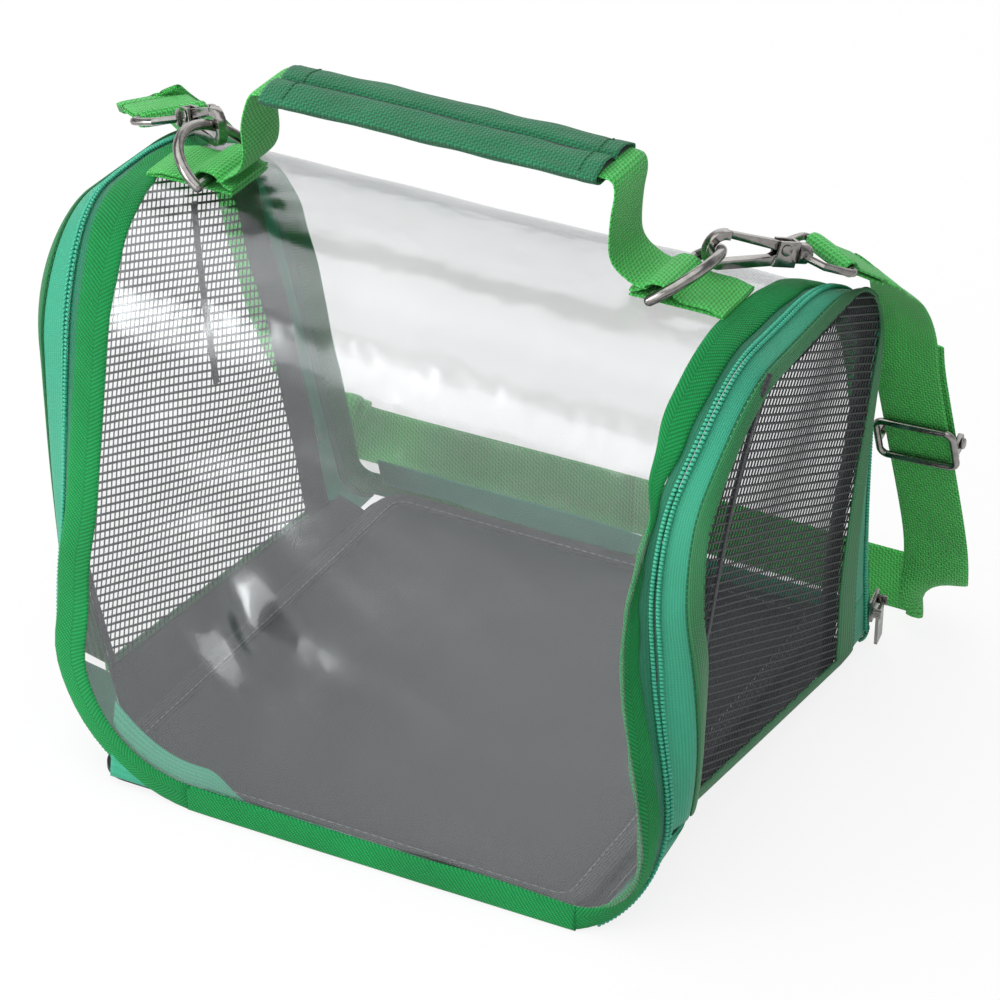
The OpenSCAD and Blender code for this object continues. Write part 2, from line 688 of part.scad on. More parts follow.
// Handle: one webbing from foot to foot, through a padded sleeve
foot_z = web_z + 2 * web_t + sewn_gap + soft_gap;
handle_z = ridge_h + handle_h;
hinge_z = foot_z + web_w / 2;
leg_x = grip_half + leg_bow;
function path_out(pts, d) = [for (i = [0:len(pts) - 1]) let (t = along(pts, i)) pts[i] + [t[1], -t[0]] * d];
half_path = concat([[foot_half, foot_z], [foot_half + 0.5, foot_z + 6]],
    arc([leg_x - leg_bend_r, handle_z - leg_bend_r], leg_bend_r, -20, 90, 8));
handle_path = concat(half_path, [for (i = [len(half_path) - 1:-1:0]) [-half_path[i][0], half_path[i][1]]]);
module handle_webbing() {
    outline = concat(path_out(handle_path, -web_t / 2),
        [for (i = [len(handle_path) - 1:-1:0]) path_out(handle_path, web_t / 2)[i]]);
    color(web_colour) intersection() {
        translate([0, -web_d + web_w / 2, 0])
            rotate([90, 0, 0]) linear_extrude(height = web_w) polygon(outline);
        rotate([90, 0, 90])
            translate([-web_d, hinge_z, -leg_x - web_w])
                linear_extrude(height = 2 * (leg_x + web_w)) {
                    circle(d = web_w, $fn = PIN_FN);
                    translate([-web_w / 2, 0]) square([web_w, handle_h]);
                }
    }
}
sleeve_in_w = web_w + 2.4;
sleeve_in_h = grip_h - 2 * grip_valley - 2 * grip_wall;
grip_sides = 24;
module grip_sleeve() {
    // Two padded lobes beside a shallow valley, flat below
    lobe = [for (i = [0:grip_sides]) let (s = -1 + 2 * i / grip_sides, e = pow(abs(s), 4))
        [s * grip_w / 2, grip_h / 2 * sqrt(1 - e * 0.96) - grip_valley * exp(-18 * s * s)]];
    under = [for (i = [grip_sides:-1:0]) let (s = -1 + 2 * i / grip_sides, e = pow(abs(s), 4))
        [s * grip_w / 2, -grip_h / 2 * sqrt(1 - e * 0.96)]];
    color(grip_colour)
        rotate([90, 0, 90])
            translate([-web_d, handle_z, -grip_half])
                linear_extrude(height = 2 * grip_half)
                    difference() {
                        polygon(concat(lobe, under));
                        translate([-sleeve_in_w / 2, -sleeve_in_h / 2]) square([sleeve_in_w, sleeve_in_h]);
                    }
}
module grip_padding() {
    gap = web_t / 2 + sewn_gap;
    half = grip_half - 1;
    w = sleeve_in_w - 2 * sewn_gap;
    h = sleeve_in_h / 2 - sewn_gap - gap;
    color(grey_colour)
        for (s = [0, 1])
            translate([-half, -web_d - w / 2, handle_z + (s == 0 ? gap : -gap - h)]) cube([2 * half, w, h]);
}

// Rings and hooks: the hook's own frame has its origin on the ring's wire and x
// towards the strap
function heading(turn, droop) = [cos(droop) * cos(turn), cos(droop) * sin(turn), -sin(droop)];
function hook_turn(side) = side == RIGHT ? right_hook_turn : left_hook_turn;
function hook_droop(side) = side == RIGHT ? right_hook_droop : left_hook_droop;
ring_mid = [ring_x, -web_d, ring_z];
hold_a = 45;
hold = ring_mid + ring_r * [cos(hold_a) * cos(ring_tilt), sin(hold_a), cos(hold_a) * sin(ring_tilt)];
function hook_x(side) = heading(hook_turn(side), hook_droop(side));
module at_hook(side) {
    on_side(side) translate(hold) rotate([0, hook_droop(side), hook_turn(side)]) children();
}
module ring(side) {
    color(metal_colour) on_side(side) translate(ring_mid) rotate([0, -ring_tilt, 0]) {
        rotate([0, 0, -90])
            rotate_extrude(angle = 180, $fn = 72)
                translate([ring_r, 0]) circle(r = ring_wire_r, $fn = WIRE_FN);
        rotate([90, 0, 0]) cylinder(h = 2 * ring_r, r = ring_wire_r, center = true, $fn = WIRE_FN);
        for (s = [-1, 1]) translate([0, s * ring_r, 0]) sphere(r = ring_wire_r, $fn = WIRE_FN);
    }
}
eye_x = hook_eye_r - hook_bar - ring_wire_r - hook_play;
pivot_x = hook_l - 5;
pivot_z = 1.6;
shoulder_x = hook_l - 9;
shoulder_z = 4.5;
nose_x = eye_x + 1.5;
gate_clear = 0.35;
// Side view of the hook's closed outline, filled
module hook_outline() {
    polygon(concat(arc([eye_x, 0], hook_eye_r, 90, 270, 20),
        [[shoulder_x, -shoulder_z], [hook_l, -shoulder_z], [hook_l, shoulder_z], [shoulder_x, shoulder_z]]));
}
module hook_window() {
    r = hook_eye_r - hook_bar;
    low = hook_bar - shoulder_z;
    polygon(concat(arc([eye_x, 0], r, 90, 270, 20),
        [[shoulder_x - 1, low], [shoulder_x + 1.5, 0], [shoulder_x - 1, 0.6 - low]]));
}
// The gate's tip is cut back above, so that it passes the hook's nose
gate_knuckle = 2.2;
gate_tip_in = 0.4;
module gate_outline() {
    polygon([[nose_x + 2 * gate_clear, hook_eye_r - gate_tip_in],
             [nose_x + gate_clear, hook_eye_r - hook_bar + gate_tip_in],
             [pivot_x - gate_knuckle + 0.2, pivot_z - gate_knuckle / 2 + 0.2],
             [pivot_x, pivot_z - gate_knuckle],
             [pivot_x + gate_knuckle, pivot_z],
             [pivot_x, pivot_z + gate_knuckle],
             [shoulder_x, shoulder_z - gate_tip_in / 2]]);
}
stem_l = collar_l + 2 * metal_gap;
stem_head_l = 1.2;
stem_head_out = 0.9;
slot_z = 1.4;
rivet_head = 0.8;
rivet_head_h = 0.6;
rivet_seat = 0.01;
module hook(side) {
    color(metal_colour) at_hook(side) difference() {
        union() {
            rotate([90, 0, 0])
                linear_extrude(height = hook_t, center = true)
                    difference() {
                        hook_outline();
                        hook_window();
                        translate([nose_x, 0]) square([hook_l, hook_eye_r + 1]);
                    }
            rotate([90, 0, 0])
                linear_extrude(height = fork_t, center = true)
                    polygon([[shoulder_x, -shoulder_z], [hook_l, -shoulder_z], [hook_l, shoulder_z],
                             [shoulder_x + 1, shoulder_z], [shoulder_x + 1, -1]]);
            translate([hook_l - 0.5, 0, 0])
                rotate([0, 90, 0]) cylinder(h = stem_l + 0.5, r = stem_r, $fn = PIN_FN);
            translate([hook_l + stem_l, 0, 0])
                rotate([0, 90, 0]) cylinder(h = stem_head_l, r = stem_r + stem_head_out, $fn = PIN_FN);
        }
        // Slot in the fork for the gate's tail
        translate([shoulder_x - 1, -gate_t / 2 - metal_gap, -slot_z])
            cube([hook_l - shoulder_x - 0.5, gate_t + 2 * metal_gap, 2 * shoulder_z]);
        translate([pivot_x, 0, pivot_z])
            rotate([90, 0, 0]) cylinder(h = fork_t + 2, r = rivet_r, center = true, $fn = PIN_FN);
    }
}
module hook_gate(side) {
    color(metal_colour) at_hook(side) difference() {
        rotate([90, 0, 0]) linear_extrude(height = gate_t, center = true) gate_outline();
        translate([pivot_x, 0, pivot_z])
            rotate([90, 0, 0]) cylinder(h = gate_t + 2, r = rivet_r + pin_gap, center = true, $fn = PIN_FN);
    }
}
module gate_rivet(side) {
    color(metal_colour) at_hook(side) translate([pivot_x, 0, pivot_z]) rotate([90, 0, 0]) {
        cylinder(h = fork_t + 2 * rivet_seat, r = rivet_r, center = true, $fn = PIN_FN);
        for (s = [0, 1])
            mirror([0, 0, s])
                translate([0, 0, fork_t / 2 + rivet_seat])
                    cylinder(h = rivet_head_h, r = rivet_r + rivet_head, $fn = PIN_FN);
    }
}
collar_x = hook_l + metal_gap;
bar_x = collar_x + eyelet_l + 2;
eyelet_bend = 2;
bar_half = web_w / 2 + eyelet_bend + 0.4;
collar_mid = collar_x + collar_l / 2;
eyelet_path = concat([[collar_mid, collar_r - 0.4, 0], [collar_mid + 3, bar_half - 4, 0]],
    [for (p = arc([bar_x - eyelet_bend, bar_half - eyelet_bend], eyelet_bend, 120, 0, 5)) [p[0], p[1], 0]]);
module swivel_loop(side) {
    color(metal_colour) at_hook(side) {
        difference() {
            translate([collar_x, 0, 0]) rotate([0, 90, 0]) cylinder(h = collar_l, r = collar_r, $fn = PIN_FN);
            translate([collar_x - 1, 0, 0])
                rotate([0, 90, 0]) cylinder(h = collar_l + 2, r = stem_r + pin_gap, $fn = PIN_FN);
        }
        for (s = [0, 1]) mirror([0, s, 0]) wire(eyelet_path, [0, 0, 1], eyelet_wire_r);
        translate([bar_x, 0, 0])
            rotate([90, 0, 0])
                cylinder(h = 2 * (bar_half - eyelet_bend), r = eyelet_wire_r, center = true, $fn = WIRE_FN);
    }
}

// The strap's sewn end: webbing wrapped round the swivel's bar
wrap_r = eyelet_wire_r + metal_gap;
function end_droop(side) = side == RIGHT ? right_end_droop : left_end_droop;
function end_turn(side) = end_droop(side) - hook_droop(side);
module strap_end(side) {
    out = wrap_r + web_t;
    color(web_colour) at_hook(side) translate([bar_x, web_w / 2, 0])
        rotate([0, end_turn(side), 0])
            rotate([90, 0, 0])
                linear_extrude(height = web_w)
                    difference() {
                        union() {
                            circle(r = out, $fn = BEND_FN);
                            polygon([[0, out], [out + 2, web_t], [strap_end_l, web_t],
                                     [strap_end_l, -web_t], [out + 2, -web_t], [0, -out]]);
                        }
                        circle(r = wrap_r, $fn = BEND_FN);
                    }
}
function end_dir(side) = heading(hook_turn(side), end_droop(side));
function bar_centre(side) = hold + hook_x(side) * bar_x;
lead_l = 4;
function strap_from(side, l = 0) = bar_centre(side) + end_dir(side) * (strap_end_l + lift_gap + l);
function on_left(p) = [-p[0], p[1], p[2]];

// The strap's route as [middle point, width direction], from the right hook down
// the back of the cover, along the floor and up to the left hook
function leg_y(z) = back_d + strap_gap / cos(back_a) - z * tan(back_a);
tail_gap = strap_gap + 2;
function over_tail(x, a) =
    let (r = tail_r + tail_gap) [x, tail_c[0] + r * cos(a), tail_c[1] + r * sin(a)];
right_start = strap_from(RIGHT);
left_start = strap_from(LEFT);
right_across = [sin(right_hook_turn), -cos(right_hook_turn), 0];
left_across = [-sin(left_hook_turn), -cos(left_hook_turn), 0];
floor_z = web_w / 2 + 0.5;
leg_low_z = 52;
leg_high_z = adjuster_z + adjuster_l / 2 + 22;
strap_low_x = strap_right_x + strap_right_lean;
leg_top = [strap_right_x, leg_y(leg_high_z), leg_high_z];
leg_low = [strap_low_x, leg_y(leg_low_z), leg_low_z];
leg_dir = unit(leg_top - leg_low);
adjuster_mid = between(leg_low, leg_top, (adjuster_z - leg_low_z) / (leg_high_z - leg_low_z));
LEG = 4;
FOLD = 9;
TURN = 11;
route = [
    [right_start, right_across],
    [strap_from(RIGHT, lead_l), right_across],
    [over_tail(right_start[0] + 2, 45), unit([0.92, -0.38, 0])],
    [over_tail((right_start[0] + strap_right_x) / 2, 32), unit([0.99, -0.12, 0])],
    [leg_top, [1, 0, 0]],
    [adjuster_mid, [1, 0, 0]],
    [leg_low, [1, 0, 0]],
    [[strap_low_x - 2, leg_y(28) + 1, 28], unit([0.9, 0, 0.35])],
    [[strap_low_x - 10, strap_floor_d - 6, 17], unit([0.55, 0, 0.83])],
    [[strap_low_x - 28, strap_floor_d - 1, floor_z], [0, 0, 1]],
    [[0, strap_floor_d + 1, floor_z], [0, 0, 1]],
    [[-104, strap_floor_d, floor_z], [0, 0, 1]],
    [[-122, strap_floor_d - 5, 18], unit([-0.45, 0, 0.9])],
    [[-strap_left_x + 8, leg_y(34) + 3, 34], unit([-0.9, 0, 0.35])],
    [[-strap_left_x + 2, leg_y(66) + 1, 66], [-1, 0, 0]],
    [[-strap_left_x, leg_y(105), 105], [-1, 0, 0]],
    [over_tail(-strap_left_x - 1, 26), unit([-0.98, -0.2, 0])],
    [over_tail(-strap_left_x - 5, 46), unit([-0.96, -0.25, 0])],
    [on_left(strap_from(LEFT, lead_l)), left_across],
    [on_left(left_start), left_across]
];
ROUTE_N = 4;
RISE = len(route) - 1;
function smooth(a, b, c, d, t) = 0.5 * (2 * b + (c - a) * t + (2 * a - 5 * b + 4 * c - d) * t * t
    + (3 * b - a - 3 * c + d) * t * t * t);
function route_at(k, j) = let (p = route[max(k - 1, 0)], q = route[k], t = j / ROUTE_N,
        r = route[min(k + 1, RISE)], s = route[min(k + 2, RISE)])
    k == 0 || k == RISE - 1 ? shares(q, r, t)
    : [smooth(p[0], q[0], r[0], s[0], t), unit(smooth(p[1], q[1], r[1], s[1], t))];
strap_line = [for (k = [0:RISE - 1], j = [0:ROUTE_N - 1]) route_at(k, j), route[RISE]];
strap_middle = [for (s = strap_line) s[0]];
strap_across = [for (i = [0:len(strap_line) - 1]) let (d = along(strap_middle, i), w = strap_line[i][1])
    unit(w - d * (w * d))];
strap_left = strap_middle - strap_across * web_w / 2;
strap_right = strap_middle + strap_across * web_w / 2;
strap_normals = normals(strap_right, strap_left);
module strap(from, to, h = web_t / 2, trim = 0) {
    ribbon(trimmed(strap_right, from, to, trim), trimmed(strap_left, from, to, trim),
           part_of(strap_normals, from, to), web_t, h);
}
module right_strap_run() {
    color(web_colour) strap(0, FOLD * ROUTE_N);
}
module back_strap_run() {
    color(web_colour) strap(FOLD * ROUTE_N, TURN * ROUTE_N, trim = 0.01);
}
module left_strap_run() {
    color(web_colour) strap(TURN * ROUTE_N, RISE * ROUTE_N, trim = 0.03);
}
// The strap's doubled layer between the adjuster and the right hook
layer_gap = 2 * adjuster_wire_r + 2 * metal_gap;
module strap_adjust_layer() {
    color(web_colour) strap(LEG * ROUTE_N - 2, LEG * ROUTE_N + ROUTE_N + 1, -web_t / 2 - layer_gap);
}

// Adjuster: a wire frame on the strap's inner face and a riveted bar behind it
module at_adjuster() {
    // x along the strap's width, y up the strap, z away from the cover
    w = unit([1, 0, 0] - leg_dir * leg_dir[0]);
    in_frame(w, leg_dir, cross(w, leg_dir), adjuster_mid) children();
}
frame_r = 3;
frame_x = adjuster_w / 2 - adjuster_wire_r;
frame_y = adjuster_l / 2 - adjuster_wire_r;
frame_z = web_t / 2 + metal_gap + adjuster_wire_r;
adjuster_bar_z = -web_t / 2 - layer_gap / 2;
lug_half = 2.4;
module rounded_frame(x, y, corner, r) {
    for (s = [-1, 1]) {
        translate([s * x, 0, 0])
            rotate([90, 0, 0]) cylinder(h = 2 * (y - corner), r = r, center = true, $fn = WIRE_FN);
        translate([0, s * y, 0])
            rotate([0, 90, 0]) cylinder(h = 2 * (x - corner), r = r, center = true, $fn = WIRE_FN);
    }
    for (k = [0:3]) {
        sx = k == 0 || k == 3 ? 1 : -1;
        sy = k < 2 ? 1 : -1;
        translate([sx * (x - corner), sy * (y - corner), 0])
            rotate([0, 0, 90 * k])
                rotate_extrude(angle = 90, $fn = PIN_FN) translate([corner, 0]) circle(r = r, $fn = WIRE_FN);
    }
}
module adjuster_frame() {
    color(metal_colour) at_adjuster() difference() {
        union() {
            translate([0, 0, frame_z]) rounded_frame(frame_x, frame_y, frame_r, adjuster_wire_r);
            for (s = [-1, 1])
                translate([s * frame_x - 1, -lug_half, adjuster_bar_z - lug_half])
                    cube([2, 2 * lug_half, frame_z - adjuster_bar_z + lug_half]);
        }
        translate([0, 0, adjuster_bar_z])
            rotate([0, 90, 0])
                cylinder(h = adjuster_w + 4, r = adjuster_wire_r + pin_gap, center = true, $fn = PIN_FN);
    }
}
module adjuster_bar() {
    head_x = frame_x + 1 + sewn_gap;
    color(metal_colour) at_adjuster() translate([0, 0, adjuster_bar_z]) rotate([0, 90, 0]) {
        cylinder(h = 2 * head_x + 0.4, r = adjuster_wire_r, center = true, $fn = PIN_FN);
        for (s = [0, 1])
            mirror([0, 0, s])
                translate([0, 0, head_x]) cylinder(h = 0.9, r = adjuster_wire_r + 0.7, $fn = PIN_FN);
    }
}

clear_cover();
arch_binding(LEFT);  // left_arch_binding
arch_binding(RIGHT);  // right_arch_binding
front_hem_binding();
back_hem_binding();
front_seam_tape();
back_seam_tape();
body_zip_tape(LEFT);  // left_body_zip_tape
body_zip_tape(RIGHT);  // right_body_zip_tape
body_zip_coil(LEFT);  // left_body_zip_coil
body_zip_coil(RIGHT);  // right_body_zip_coil
base_fabric();
side_flap(LEFT);  // left_side_flap
side_flap(RIGHT);  // right_side_flap
base_board();
floor_pad();
floor_edge_tape();
door_mesh(LEFT);  // left_door_mesh
door_mesh(RIGHT);  // right_door_mesh
door_binding(LEFT);  // left_door_binding
door_binding(RIGHT);  // right_door_binding
door_zip_tape(LEFT);  // left_door_zip_tape
door_zip_tape(RIGHT);  // right_door_zip_tape
door_zip_coil(LEFT);  // left_door_zip_coil
door_zip_coil(RIGHT);  // right_door_zip_coil
door_lining(LEFT);  // left_door_lining
door_lining(RIGHT);  // right_door_lining
zip_slider(LEFT);  // left_zip_slider
zip_slider(RIGHT);  // right_zip_slider
zip_pull(LEFT);  // left_zip_pull
zip_pull(RIGHT);  // right_zip_pull
ridge_webbing(LEFT);  // left_ridge_webbing
ridge_webbing(RIGHT);  // right_ridge_webbing
handle_webbing();
grip_sleeve();
grip_padding();
ring(LEFT);  // left_ring
ring(RIGHT);  // right_ring
hook(LEFT);  // left_hook
hook(RIGHT);  // right_hook
hook_gate(LEFT);  // left_hook_gate
hook_gate(RIGHT);  // right_hook_gate
gate_rivet(LEFT);  // left_gate_rivet
gate_rivet(RIGHT);  // right_gate_rivet
swivel_loop(LEFT);  // left_swivel_loop
swivel_loop(RIGHT);  // right_swivel_loop
strap_end(LEFT);  // left_strap_end
strap_end(RIGHT);  // right_strap_end
left_strap_run();
back_strap_run();
right_strap_run();
strap_adjust_layer();
adjuster_frame();
adjuster_bar();
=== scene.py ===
"""Looks of a small see-through carrier for a pet bird: clear sheet, bound arches, zipped mesh
doors, padded floor and grip, webbing, rings, snap hooks and shoulder strap."""
import json
import math

import bpy
import bmesh
import numpy as np
from mathutils import Matrix

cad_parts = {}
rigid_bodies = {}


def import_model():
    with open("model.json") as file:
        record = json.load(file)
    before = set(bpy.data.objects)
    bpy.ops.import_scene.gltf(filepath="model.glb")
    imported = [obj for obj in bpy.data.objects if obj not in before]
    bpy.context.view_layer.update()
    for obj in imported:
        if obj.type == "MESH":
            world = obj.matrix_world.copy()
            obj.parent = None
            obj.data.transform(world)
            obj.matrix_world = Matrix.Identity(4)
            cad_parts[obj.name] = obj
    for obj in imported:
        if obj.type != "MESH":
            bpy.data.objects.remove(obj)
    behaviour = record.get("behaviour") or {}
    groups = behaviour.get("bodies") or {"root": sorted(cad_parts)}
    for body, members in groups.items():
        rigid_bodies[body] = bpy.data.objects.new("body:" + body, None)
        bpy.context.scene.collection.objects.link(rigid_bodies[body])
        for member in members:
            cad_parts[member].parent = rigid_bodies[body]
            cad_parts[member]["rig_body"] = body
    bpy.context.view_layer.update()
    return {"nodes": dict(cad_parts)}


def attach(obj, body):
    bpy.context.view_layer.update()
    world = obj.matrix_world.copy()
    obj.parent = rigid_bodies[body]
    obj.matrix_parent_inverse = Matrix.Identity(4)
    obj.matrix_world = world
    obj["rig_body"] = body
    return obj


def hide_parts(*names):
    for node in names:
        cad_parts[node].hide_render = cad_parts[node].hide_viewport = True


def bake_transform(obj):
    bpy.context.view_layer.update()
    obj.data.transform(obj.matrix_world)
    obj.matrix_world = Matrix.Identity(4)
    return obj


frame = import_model()
MM = 0.001
RIGHT, LEFT = 1, -1
SIDES = {RIGHT: "right", LEFT: "left"}
TAU = math.tau
UP = np.array([0.0, 0.0, 1.0])


# Shapes.
def vec(*values):
    return np.array(values, float)


def unit(v):
    """Each vector divided by its length."""
    return v / np.maximum(np.linalg.norm(v, axis=-1, keepdims=True), 1e-12)


def mix(a, b, f):
    """Straight way from a to b, at the share f."""
    return a + (b - a) * f


def soft(x, low, high):
    """0 below low, 1 above high, and 3t^2 - 2t^3 between them."""
    t = np.clip((x - low) / (high - low), 0, 1)
    return t * t * (3 - 2 * t)


def bump(x, middle, half):
    """A round hump, 1 at the middle: exp(-(distance / half)^2)."""
    return np.exp(-(((x - middle) / half) ** 2))


def ripple(x, y, size, seed, waves=7):
    """Sum of plane waves about size mm long with seeded directions, lengths and phases."""
    rng = np.random.default_rng(seed)
    total = 0.0
    for turn, length, start in rng.uniform((0, 0.65, 0), (TAU, 1.5, TAU), (waves, 3)):
        total = total + np.sin((x * math.cos(turn) + y * math.sin(turn)) * TAU / (size * length) + start)
    return total / math.sqrt(waves)


def along(points):
    """Unit direction of a line at each of its points, from the points beside it."""
    return unit(np.gradient(points, axis=0))


def travel(points):
    """Distance from the line's start at each of its points."""
    return np.concatenate([[0], np.cumsum(np.linalg.norm(np.diff(points, axis=0), axis=1))])


def spline(points, count):
    """Catmull-Rom curve through the points, at count even shares of each stretch."""
    p = np.concatenate([[2 * points[0] - points[1]], points, [2 * points[-1] - points[-2]]])
    t = (np.arange(count) / count)[None, :, None]
    a, b, c, d = (p[i:len(p) - 3 + i][:, None, :] for i in range(4))
    line = 0.5 * (2 * b + (c - a) * t + (2 * a - 5 * b + 4 * c - d) * t**2 + (3 * b - a - 3 * c + d) * t**3)
    return np.concatenate([line.reshape(-1, points.shape[1]), points[-1:]])


def even(points, count):
    """The same line with count points at even distances."""
    s = travel(points)
    t = np.linspace(0, s[-1], count)
    return np.stack([np.interp(t, s, points[:, i]) for i in range(points.shape[1])], axis=1)


def grid_normals(base):
    """Unit cross product of the ways across and along a grid."""
    return unit(np.cross(np.gradient(base, axis=1), np.gradient(base, axis=0)))


def cosine_shares(count):
    """Shares from 0 to 1 that lie closer at both ends: (1 - cos(pi t)) / 2."""
    return (1 - np.cos(np.pi * np.linspace(0, 1, count))) / 2


def placed(name, data):
    """A new object in the scene that holds the data."""
    thing = bpy.data.objects.new(name, data)
    bpy.context.scene.collection.objects.link(thing)
    return thing


def piece(name, verts, faces, uv, material, body, stands_for=(), slot=None, smooth=True):
    """One object from vertices in mm, faces and a UV pair in metres for each vertex."""
    mesh = bpy.data.meshes.new(name)
    mesh.from_pydata((verts * MM).tolist(), [], faces)
    corner = np.empty(len(mesh.loops), np.int32)
    mesh.loops.foreach_get("vertex_index", corner)
    mesh.uv_layers.new(name="UVMap").data.foreach_set("uv", uv[corner].astype(np.float32).ravel())
    mesh.polygons.foreach_set("use_smooth", np.full(len(mesh.polygons), smooth))
    mesh.materials.append(material)
    thing = placed(name, mesh)
    if body:
        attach(thing, body)
    if stands_for:
        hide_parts(*stands_for)
    return thing


def loft(name, rings, uv, material, body, closed=False, **more):
    """Rows of closed rings joined by quads, with both ends capped unless the rows close too.
    The faces are turned round where the enclosed volume comes out negative."""
    n, k = rings.shape[:2]
    at = np.arange(n * k).reshape(n, k)
    beside = np.roll(at, -1, axis=1)
    if closed:
        at2, beside2 = np.roll(at, -1, axis=0), np.roll(beside, -1, axis=0)
        quads = np.stack([at, beside, beside2, at2], axis=-1).reshape(-1, 4)
    else:
        quads = np.stack([at[:-1], beside[:-1], beside[1:], at[1:]], axis=-1).reshape(-1, 4)
    verts = rings.reshape(-1, 3)
    mid = verts.mean(0)
    a, b, c, d = (verts[quads[:, i]] - mid for i in range(4))
    volume = np.einsum("ij,ij->", a, np.cross(b, c)) + np.einsum("ij,ij->", a, np.cross(c, d))
    caps = [] if closed else [at[0][::-1], at[-1]]
    for cap in caps:
        p = verts[cap] - mid
        volume += np.einsum("ij,ij->", np.broadcast_to(p[0], p[1:-1].shape), np.cross(p[1:-1], p[2:]))
    if volume < 0:
        quads = quads[:, ::-1]
        caps = [cap[::-1] for cap in caps]
    faces = quads.tolist() + [cap.tolist() for cap in caps]
    return piece(name, verts, faces, uv.reshape(-1, 2), material, body, **more)


def taped(base, thick, lift=0.0, sharp=8, normal=None, side=RIGHT, ends=0, spine=0.0):
    """Rings and UV of a tape on a base grid, whose rows run along it and columns across.
    Both faces stand at lift plus or minus half the thickness along the grid's normals, times
    (1 - |2s - 1|^sharp)^(1/2), s being the share of the way across, so that its edges are round.
    Where ends is given, the same formula with that power closes it along its length. The UV
    runs in metres, across from the middle or from spine mm beside it."""
    if normal is None:
        normal = grid_normals(base)
    step = np.linalg.norm(np.diff(base, axis=1), axis=2)
    far = np.concatenate([np.zeros((len(base), 1)), np.cumsum(step, axis=1)], axis=1)
    s = far / far[:, -1:]
    u = travel(base[:, base.shape[1] // 2])
    half = thick / 2 * np.sqrt(np.clip(1 - np.abs(2 * s - 1) ** sharp, 0, 1))
    if ends:
        half = half * np.sqrt(np.clip(1 - np.abs(2 * u / u[-1] - 1) ** ends, 0.0, 1))[:, None]
    lift = np.asarray(lift, float)
    lift = lift if lift.ndim else np.full(s.shape, float(lift))
    top = base + normal * (lift + half)[..., None]
    under = base + normal * (lift - half)[..., None]
    rings = np.concatenate([top, under[:, -2:0:-1]], axis=1) * vec(side, 1, 1)
    v = (s - 0.5) * far[:, -1:].mean() + spine
    v = np.concatenate([v, v[:, -2:0:-1]], axis=1)
    uv = np.stack([np.broadcast_to(u[:, None], v.shape), v], axis=-1) * MM
    return rings, uv


def tape(name, base, thick, material, body, closed=False, stands_for=(), slot=None, **shape):
    """A woven tape or sheet with rounded edges, as taped() gives it."""
    rings, uv = taped(base, thick, **shape)
    return loft(name, rings, uv, material, body, closed=closed, stands_for=stands_for, slot=slot)


def strip(line, across, width, columns=13):
    """Grid of a flat strip: the line's points plus the across direction times the way over."""
    w = (cosine_shares(columns) - 0.5) * width
    return line[:, None, :] + across[:, None, :] * w[None, :, None]


def repeated(name, places, frames, ring_x, ring_r, sides, flat, material, body, **more):
    """One small turned shape repeated at many places: rings at ring_x along each frame's first
    axis with radii ring_r, flattened by the factor flat along its third axis."""
    a = np.arange(sides) / sides * TAU
    x, r = np.repeat(ring_x[:, None], sides, 1), ring_r[:, None]
    section = np.stack([x, r * np.cos(a), flat * r * np.sin(a)], -1)
    local = section.reshape(-1, 3)
    verts = places[:, None, :] + np.einsum("vk,mki->mvi", local, frames)
    k = len(ring_x)
    at = np.arange(k * sides).reshape(k, sides)
    beside = np.roll(at, -1, axis=1)
    quads = np.stack([at[:-1], at[1:], beside[1:], beside[:-1]], -1).reshape(-1, 4)
    caps = np.stack([at[0], at[-1][::-1]])
    shift = (np.arange(len(places)) * k * sides)[:, None, None]
    handed = np.linalg.det(frames[0]) > 0
    quads, caps = (f if handed else f[:, ::-1] for f in (quads, caps))
    faces = (quads[None] + shift).reshape(-1, 4).tolist() + (caps[None] + shift).reshape(-1, sides).tolist()
    flat_verts = verts.reshape(-1, 3)
    return piece(name, flat_verts, faces, flat_verts[:, :2] * MM, material, body, **more)


# Finishes.
def linear(hex_colour):
    """An sRGB hex value as a linear colour."""
    c = np.array([int(hex_colour[i:i + 2], 16) / 255 for i in (1, 3, 5)])
    c = np.where(c <= 0.04045, c / 12.92, ((c + 0.055) / 1.055) ** 2.4)
    return (*c.tolist(), 1.0)


def add(tree, kind, inputs=None, out=0, **settings):
    """Adds one node with its settings and inputs, which are values or links, and gives one output."""
    node = tree.nodes.new("ShaderNode" + kind)
    for key, value in settings.items():
        setattr(node, key, value)
    for key, value in (inputs or {}).items():
        if isinstance(value, bpy.types.NodeSocket):
            tree.links.new(value, node.inputs[key])
        else:
            node.inputs[key].default_value = value
    return node.outputs[out]


def finish_of(name, **sockets):
    """A new material: its name, node tree and Principled shader."""
    mat = bpy.data.materials.new(name)
    mat.use_nodes = True
    shader = mat.node_tree.nodes["Principled BSDF"]
    for key, value in sockets.items():
        shader.inputs[key.replace("_", " ")].default_value = value
    return mat, mat.node_tree, shader


def dress(tree, shader, dark, light, pattern, height, depth, wear=0.12, wear_size=30):
    """Colour between dark and light by the pattern, a slow change of shade, and the height as bump."""
    place = add(tree, "TexCoord", out="Object")
    cloud = add(tree, "TexNoise", {"Vector": place, "Scale": 1000 / wear_size, "Detail": 3.0})
    tone = add(tree, "Mix", {0: pattern, 6: linear(dark), 7: linear(light)}, out=2, data_type="RGBA")
    swing = add(tree, "MapRange", {0: cloud, 1: 0.3, 2: 0.7, 3: 1 - wear, 4: 1 + wear})
    tone = add(tree, "Mix", {0: 1.0, 6: tone, 7: swing}, out=2, data_type="RGBA", blend_type="MULTIPLY")
    tree.links.new(tone, shader.inputs["Base Color"])
    normal = add(tree, "Bump", {"Height": height, "Distance": depth * MM, "Strength": 1.0})
    tree.links.new(normal, shader.inputs["Normal"])


